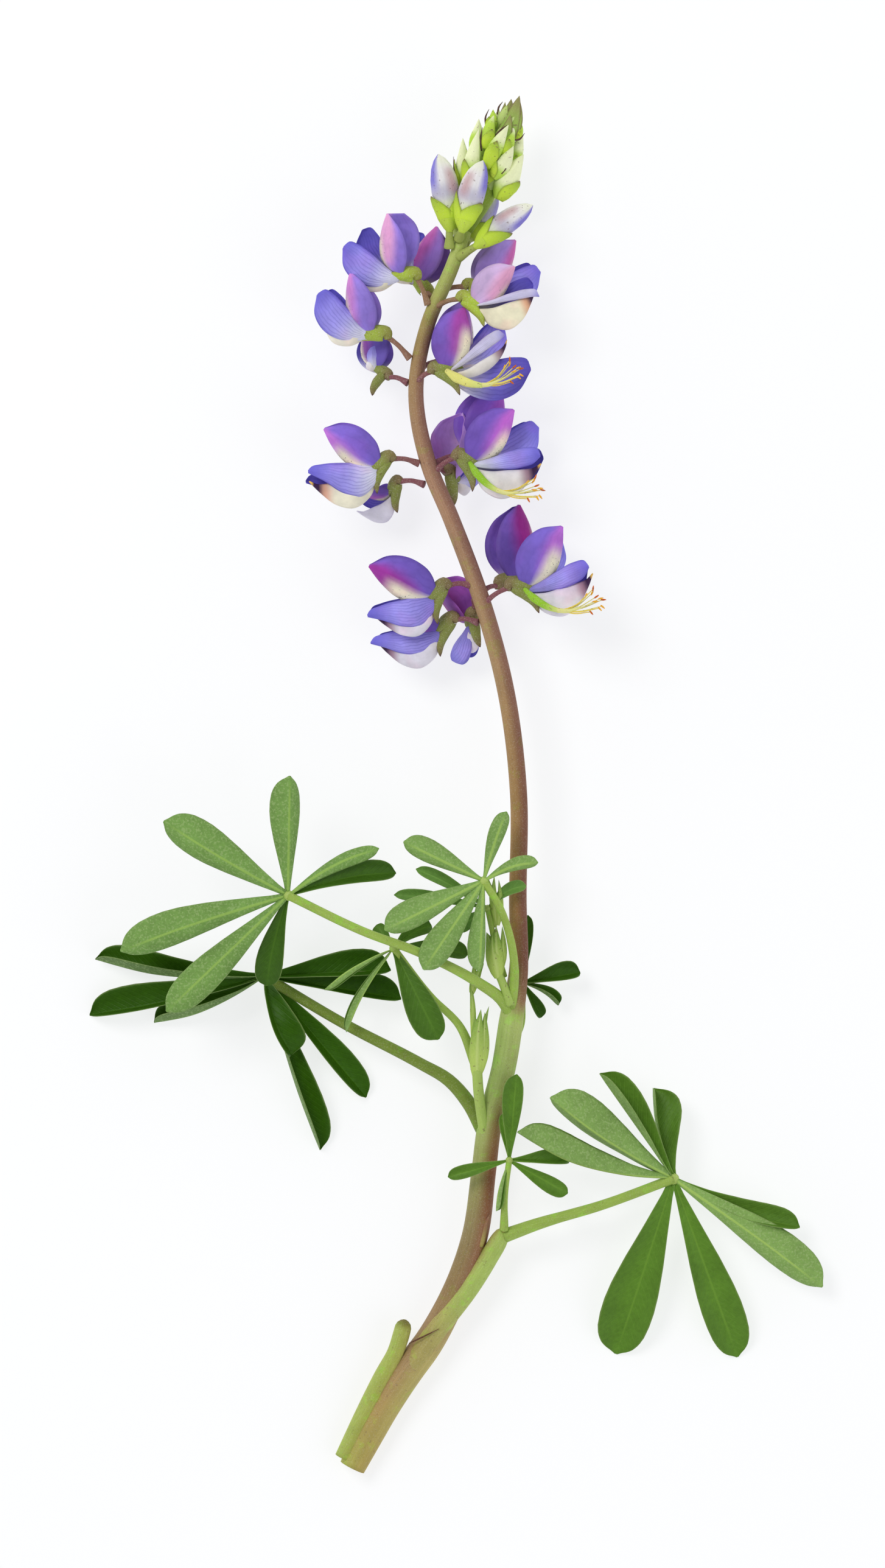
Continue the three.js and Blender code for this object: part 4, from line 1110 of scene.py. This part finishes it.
# Large buds: stalk root, base, tip, half-width, which side the blue edge is on (-1 left, +1 right), how
# grey the petals are, and scales as (degrees round, reach, half-spread in degrees, flare).
BUDS = [
    dict(name="bud_1", root=(-1.4, 106.2, 15.6), base=(-1.4, 110.0, 17.2), tip=(-3.6, 124.4, 18.0),
         half=2.8, blue=-1, grey=0.0, scales=((70, 0.45, 84, 0.3), (-68, 0.5, 62, 0.1))),
    dict(name="bud_2", root=(0.4, 108.0, 16.0), base=(1.2, 109.6, 19.4), tip=(5.2, 122.9, 20.6), half=2.75,
         blue=1, grey=0.0, scales=((82, 0.5, 58, 0.1), (-52, 0.42, 88, 0.3))),
    dict(name="bud_3", root=(0.4, 104.4, 15.2), base=(4.1, 106.5, 18.0), tip=(15.0, 114.3, 19.0), half=2.35,
         blue=1, grey=0.0, scales=((74, 0.46, 62, 0.1), (-66, 0.52, 80, 0.3))),
    dict(name="bud_4", root=(0.6, 107.4, 13.6), base=(-0.2, 110.2, 10.8), tip=(-0.2, 120.4, 9.8), half=2.0,
         blue=-1, grey=0.7, scales=((60, 0.4, 70, 0.3), (-70, 0.4, 60, 0.1))),
    dict(name="bud_5", root=(1.6, 107.4, 13.6), base=(2.9, 108.4, 11.2), tip=(8.0, 117.4, 10.8), half=2.4,
         blue=1, grey=0.6, scales=((-50, 0.42, 80, 0.3), (70, 0.4, 60, 0.1))),
]


def bud_piece(bud):
    base, tip = np.array(bud["base"], float), np.array(bud["tip"], float)
    blue_at = 0.25 if bud["blue"] < 0 else 0.75

    def petal(u, v):
        facing = np.cos((u - blue_at) * 2 * math.pi)
        colour = mix(WHITE_BUD, rgb(214, 226, 170), step(v, 0.5, 0.2) * 0.8)
        colour = mix(colour, rgb(188, 184, 206), step(v, 0.3, 0.45) * step(v, 0.66, 0.5) * 0.8)
        blush = step(np.abs(facing + 0.55), 0.5, 0.1) * step(np.abs(v - 0.62), 0.26, 0.08)
        colour = mix(colour, rgb(192, 146, 148), blush * 0.75)
        colour = mix(colour, rgb(236, 238, 214), step(v, 0.76, 0.92) * 0.8)
        colour = mix(colour, rgb(132, 124, 212), step(facing, 0.25, 0.75) * step(v, 0.42, 0.66))
        return mix(colour, rgb(176, 170, 206), bud["grey"] * 0.8)

    pod = Pod(base, tip, bud["half"], POD_SHAPE, 0.78, 0.3 * bud["blue"])
    parts = [pod.body(petal, 28, 22)]
    for side, reach, spread, flare in bud["scales"]:
        parts.append(pod.scale(side, reach, spread, scale_tone, flare))
    cup = [base + (tip - base) * t for t in (-0.06, 0.0, 0.06, 0.13)]
    parts.append(tube(cup, np.array([0.2, 0.42, 0.56, 0.66]) * bud["half"], rgb(196, 222, 78), 18, 12))
    root = np.array(bud["root"], float)
    parts.append(tube([root, (root + base) / 2, base], [1.15, 0.8, 0.7], rgb(172, 186, 96), 10, 10))
    return build(bud["name"] + "_visual", parts, [BUD], [bud["name"]])


# Unopened top of the spike: base x, y, z, tip x, y, z, half-width, where its pale petal starts (1 never),
# and its scale as (degrees round, reach) or None.
SPIKE_BUDS = [
    (0.8, 117.4, 14.8, 1.25, 127.8, 15.4, 1.5, 0.25, (80, 0.6)),
    (2.3, 117.6, 17.6, 4.4, 129.2, 18.6, 1.6, 0.3, (50, 0.48)),
    (3.2, 124.6, 14.4, 4.4, 131.6, 15.0, 1.4, 0.5, None),
    (5.7, 125.4, 17.6, 7.3, 132.0, 17.8, 1.4, 0.75, (-20, 0.6)),
    (6.5, 128.6, 15.6, 7.2, 133.4, 15.8, 1.1, 1.0, (40, 0.7)),
    (5.9, 121.6, 18.4, 10.2, 130.0, 19.0, 1.55, 0.45, (10, 0.6)),
    (8.0, 123.8, 17.0, 11.4, 129.0, 17.4, 1.6, 0.8, (0, 0.7)),
    (10.0, 126.8, 16.2, 11.5, 130.4, 16.4, 1.1, 0.4, None),
    (11.3, 127.6, 14.6, 12.8, 130.8, 14.8, 1.0, 1.0, (0, 0.7)),
    (11.2, 122.8, 14.6, 13.1, 128.4, 15.0, 1.4, 0.3, None),
    (7.2, 119.6, 18.2, 11.2, 125.9, 18.6, 1.6, 0.2, (70, 0.5)),
    (8.1, 115.6, 16.6, 13.2, 124.4, 17.2, 2.3, 0.15, (-60, 0.52)),
    (5.2, 118.0, 15.8, 8.4, 127.0, 16.4, 2.0, 1.0, (0, 0.6)),
    (4.2, 117.6, 11.8, 4.4, 128.4, 11.0, 1.9, 0.5, (-90, 0.5)),
    (8.6, 117.0, 11.8, 11.0, 126.0, 11.0, 1.9, 0.5, (90, 0.5)),
    (7.0, 123.6, 12.0, 8.6, 132.0, 11.8, 1.7, 0.6, (0, 0.5)),
]
APEX_BRACTS = [
    (8.2, 125.4, 15.4, 12.4, 136.1, 15.6, 2.1), (7.4, 127.4, 15.2, 9.6, 134.9, 15.4, 1.1),
    (10.4, 127.4, 15.4, 12.6, 134.8, 15.2, 1.3), (8.6, 128.0, 14.0, 10.8, 135.6, 14.4, 1.6),
    (8.4, 126.0, 17.2, 10.6, 132.2, 17.2, 1.2),
]
# Thin dark bract tips that stand between the buds.
DARK_BRACTS = [
    ((5.9, 129.6, 15.8), (5.7, 131.8, 16.2), (6.4, 133.4, 16.4)),
    ((8.0, 132.4, 15.8), (8.4, 134.0, 15.9), (9.1, 134.9, 15.9)),
    ((4.9, 125.0, 18.0), (4.7, 127.6, 18.4), (5.1, 129.6, 18.5)),
    ((10.8, 127.2, 17.2), (12.4, 127.4, 17.2), (13.4, 128.6, 17.0)),
    ((0.9, 116.4, 17.8), (-0.4, 120.6, 17.2), (-0.6, 124.0, 17.0)),
    ((8.8, 120.4, 19.2), (9.6, 121.4, 19.3), (9.9, 122.6, 19.2)),
    ((7.6, 128.0, 18.2), (8.8, 129.2, 18.4), (9.9, 130.0, 18.8)),
]


def fill_buds(core):
    """Small plain buds set spirally up the axis, which show in the gaps between the others."""
    ts = np.linspace(0.2, 0.86, 30)
    path = spline(core, ts)
    tangent, n, b = along(path, np.array([0, 0, 1.0]))
    reach = np.interp(ts, (0.2, 0.35, 0.6, 0.86), (1.9, 2.6, 2.7, 1.4))
    parts = []
    for k, foot in enumerate(path):
        a = math.radians(137.5 * k)
        out = n[k] * math.cos(a) + b[k] * math.sin(a)
        tip = foot + tangent[k] * 5.0 + out * (reach[k] + 0.9)
        tone = mix(GREEN_BUD * 0.8, PALE_BUD, 0.15 + 0.12 * (k % 4))
        parts.append(Pod(foot + out * reach[k] * 0.6, tip, 1.1, SLIM_SHAPE, 0.85, 0.2).body(tone, 14, 12))
    return parts


def spike_piece():
    core = np.array([(1.8, 109.6, 14.5), (4.4, 115.6, 14.4), (7.2, 124.0, 14.2), (10.4, 132.4, 14.4)])
    # The axis is a real part; its darker green is painted shade where the buds crowd round it.
    parts = [tube(core, [1.3, 2.9, 3.0, 1.2], GREEN_BUD * 0.6, 16, 24)]
    parts += fill_buds(core)
    for k, (x0, y0, z0, x1, y1, z1, half, pale_from, cover) in enumerate(SPIKE_BUDS):
        def tone(u, v, pale_from=pale_from):
            # Each bud is lighter on top and darker underneath: painted light and shade.
            green = mix(GREEN_BUD * 0.92, GREEN_BUD * 1.1, 0.5 + 0.5 * np.cos(u * 2 * math.pi))
            return mix(green, PALE_BUD, step(v, pale_from, pale_from + 0.25))
        pod = Pod((x0, y0, z0), (x1, y1, z1), half, SLIM_SHAPE, 0.85, 0.2 if k % 2 else -0.2)
        parts.append(pod.body(tone))
        if cover:
            parts.append(pod.scale(cover[0], cover[1], 62, scale_tone, 0.3))

    def bract(u, v):
        base = mix(rgb(156, 190, 84), rgb(150, 146, 92), step(v, 0.4, 1.0))
        return mix(base, rgb(112, 74, 58), step(np.abs(np.sin(u * 2 * math.pi)), 0.74, 0.96) * 0.85)

    for row in APEX_BRACTS:
        parts.append(Pod(row[:3], row[3:6], row[6], SLIM_SHAPE, 0.7, -0.3).body(bract))
    for path in DARK_BRACTS:
        parts.append(tube(np.array(path), [0.16, 0.22, 0.05], rgb(92, 66, 58), 6, 8))
    return build("bud_spike_visual", parts, [BUD], ["bud_spike"])


# ---- Side shoots --------------------------------------------------------------------------------

# Young growth: its stalk and radius, then folded leaflets as base x, y, z, tip x, y, z, half-width.
SHOOTS = {
    "shoot_upper": {
        "stalk": [(10.6, -43.0, 14.6), (9.0, -38.4, 15.6), (7.4, -34.8, 15.8)], "radius": 0.75,
        "leaflets": [
            (8.2, -37.6, 15.8, 5.9, -28.6, 16.6, 1.8), (8.6, -37, 15.8, 7.8, -27.4, 17.0, 1.4),
            (8.7, -36.4, 15.6, 9.0, -27.4, 16.6, 0.8), (8.0, -36.4, 16.4, 7.0, -28.8, 17.6, 0.7),
            (7.6, -27.6, 16.2, 6.2, -17.8, 18.6, 0.8), (7.9, -27, 16.6, 7.4, -17.4, 19, 0.8),
            (8.2, -27.2, 16.8, 8.3, -18.2, 18.6, 0.7),
        ],
    },
    "shoot_lower": {
        "stalk": [(6.0, -70.6, 9.6), (5.0, -65.0, 11.4), (4.3, -59.6, 13.0), (4.0, -54.0, 14.0)],
        "radius": 0.95,
        "leaflets": [
            (3.7, -57, 13.6, 3.6, -45.0, 14.6, 1.5), (4.1, -57, 13.8, 4.8, -43.8, 15.4, 1.5),
            (4.3, -57, 13.6, 5.6, -44.4, 14.8, 1.3), (4.2, -55, 13.4, 6.4, -43.2, 14.0, 0.75),
            (3.2, -50, 13, 2.6, -37.6, 12.6, 0.6), (3.0, -41, 12.4, 5.4, -34.8, 12.6, 0.8),
            (2.8, -40.6, 12.4, 3.4, -34.4, 12.4, 0.7),
        ],
    },
}


def shoot_tone(u, v):
    base = mix(rgb(182, 206, 102), rgb(132, 166, 70), step(v, 0.2, 0.95))
    return mix(base, rgb(206, 222, 140), step(np.cos(u * 6 * math.pi), 0.6, 1.0) * 0.6)


def shoot_piece(name, shoot):
    stalk = np.array(shoot["stalk"])
    radii = shoot["radius"] * np.linspace(1.15, 1.05, len(stalk))
    parts = [tube(stalk, radii, rgb(168, 194, 98), 12, 16)]
    for k, row in enumerate(shoot["leaflets"]):
        bend = 0.3 if k % 2 else -0.3
        parts.append(Pod(row[:3], row[3:6], row[6], SLIM_SHAPE, 0.75, bend).body(shoot_tone))
    return build(name + "_visual", parts, [BUD], [name])


# ---- Stage, light and camera --------------------------------------------------------------------

FRAME_HEIGHT = 309.12  # height of what the picture shows, mm
VIEW_CENTRE = (-2.76, 0.6)  # middle of the picture in the layout, mm
LENS = 150.0
SENSOR = 36.0
FOCUS_HEIGHT = 14.0  # height the scale is set at, mm
KEY_POWER = 6.6
FILL_POWER = 2.4


def make_stage():
    mesh = bpy.data.meshes.new("floor")
    mesh.from_pydata([(-6, -6, 0), (6, -6, 0), (6, 6, 0), (-6, 6, 0)], [], [(0, 1, 2, 3)])
    floor = bpy.data.objects.new("floor", mesh)
    floor.location.z = -0.0002
    bpy.context.scene.collection.objects.link(floor)
    g = Graph("floor")
    grain = g.noise(g.position(), 3.0)
    tint = g.blend(grain, (0.31, 0.313, 0.316, 1), (0.33, 0.333, 0.336, 1))
    g.shader.inputs["Emission Color"].default_value = (0.985, 0.99, 1.0, 1)
    mesh.materials.append(g.finish(tint, 0.9, Emission_Strength=0.72, Specular_IOR_Level=0.1))


def area_light(name, place, target, size, energy, colour):
    data = bpy.data.lights.new(name, "AREA")
    data.shape = "DISK"
    data.size = size
    data.energy = energy
    data.color = colour
    light = bpy.data.objects.new(name, data)
    light.location = place
    aim = [t - p for t, p in zip(target, place)]
    light.rotation_mode = "QUATERNION"
    light.rotation_quaternion = Vector(aim).to_track_quat("-Z", "Y")
    bpy.context.scene.collection.objects.link(light)


def make_world():
    """A white studio: bright walls round the horizon and a dimmer ceiling."""
    world = bpy.data.worlds.new("studio")
    world.use_nodes = True
    nodes, links = world.node_tree.nodes, world.node_tree.links
    coords = nodes.new("ShaderNodeTexCoord")
    split = nodes.new("ShaderNodeSeparateXYZ")
    ramp = nodes.new("ShaderNodeMapRange")
    ramp.interpolation_type = "SMOOTHSTEP"
    for socket, value in zip(ramp.inputs, (0.0, 0.25, 0.7, 1.0, 0.34)):
        socket.default_value = value
    links.new(coords.outputs["Generated"], split.inputs[0])
    links.new(split.outputs[2], ramp.inputs[0])
    background = nodes["Background"]
    background.inputs["Color"].default_value = (0.985, 0.99, 1.0, 1)
    links.new(ramp.outputs[0], background.inputs["Strength"])
    bpy.context.scene.world = world


def make_lights():
    area_light("key", (-0.55, 0.5, 1.1), (0, 0, 0), 0.6, KEY_POWER, (1.0, 0.99, 0.96))
    area_light("fill", (0.7, -0.4, 0.9), (0, 0, 0), 0.9, FILL_POWER, (0.96, 0.98, 1.0))
    bpy.context.scene.view_settings.view_transform = "Standard"


def make_camera():
    data = bpy.data.cameras.new("camera")
    data.lens = LENS
    data.sensor_width = SENSOR
    camera = bpy.data.objects.new("camera", data)
    distance = FRAME_HEIGHT * LENS / SENSOR
    centre = (np.array([*VIEW_CENTRE, FOCUS_HEIGHT]) + SHIFT) * MM
    camera.location = (centre[0], centre[1], centre[2] + distance * MM)
    bpy.context.scene.collection.objects.link(camera)
    bpy.context.scene.camera = camera


stem_piece()
for leaf_name, leaf_rows in LEAVES.items():
    leaf_piece(leaf_name, leaf_rows)
for shoot_name, shoot_rows in SHOOTS.items():
    shoot_piece(shoot_name, shoot_rows)
spike_piece()
for bud_row in BUDS:
    bud_piece(bud_row)
for flower_row in FLOWERS:
    flower_pieces(flower_row)
make_stage()
make_world()
make_lights()
make_camera()
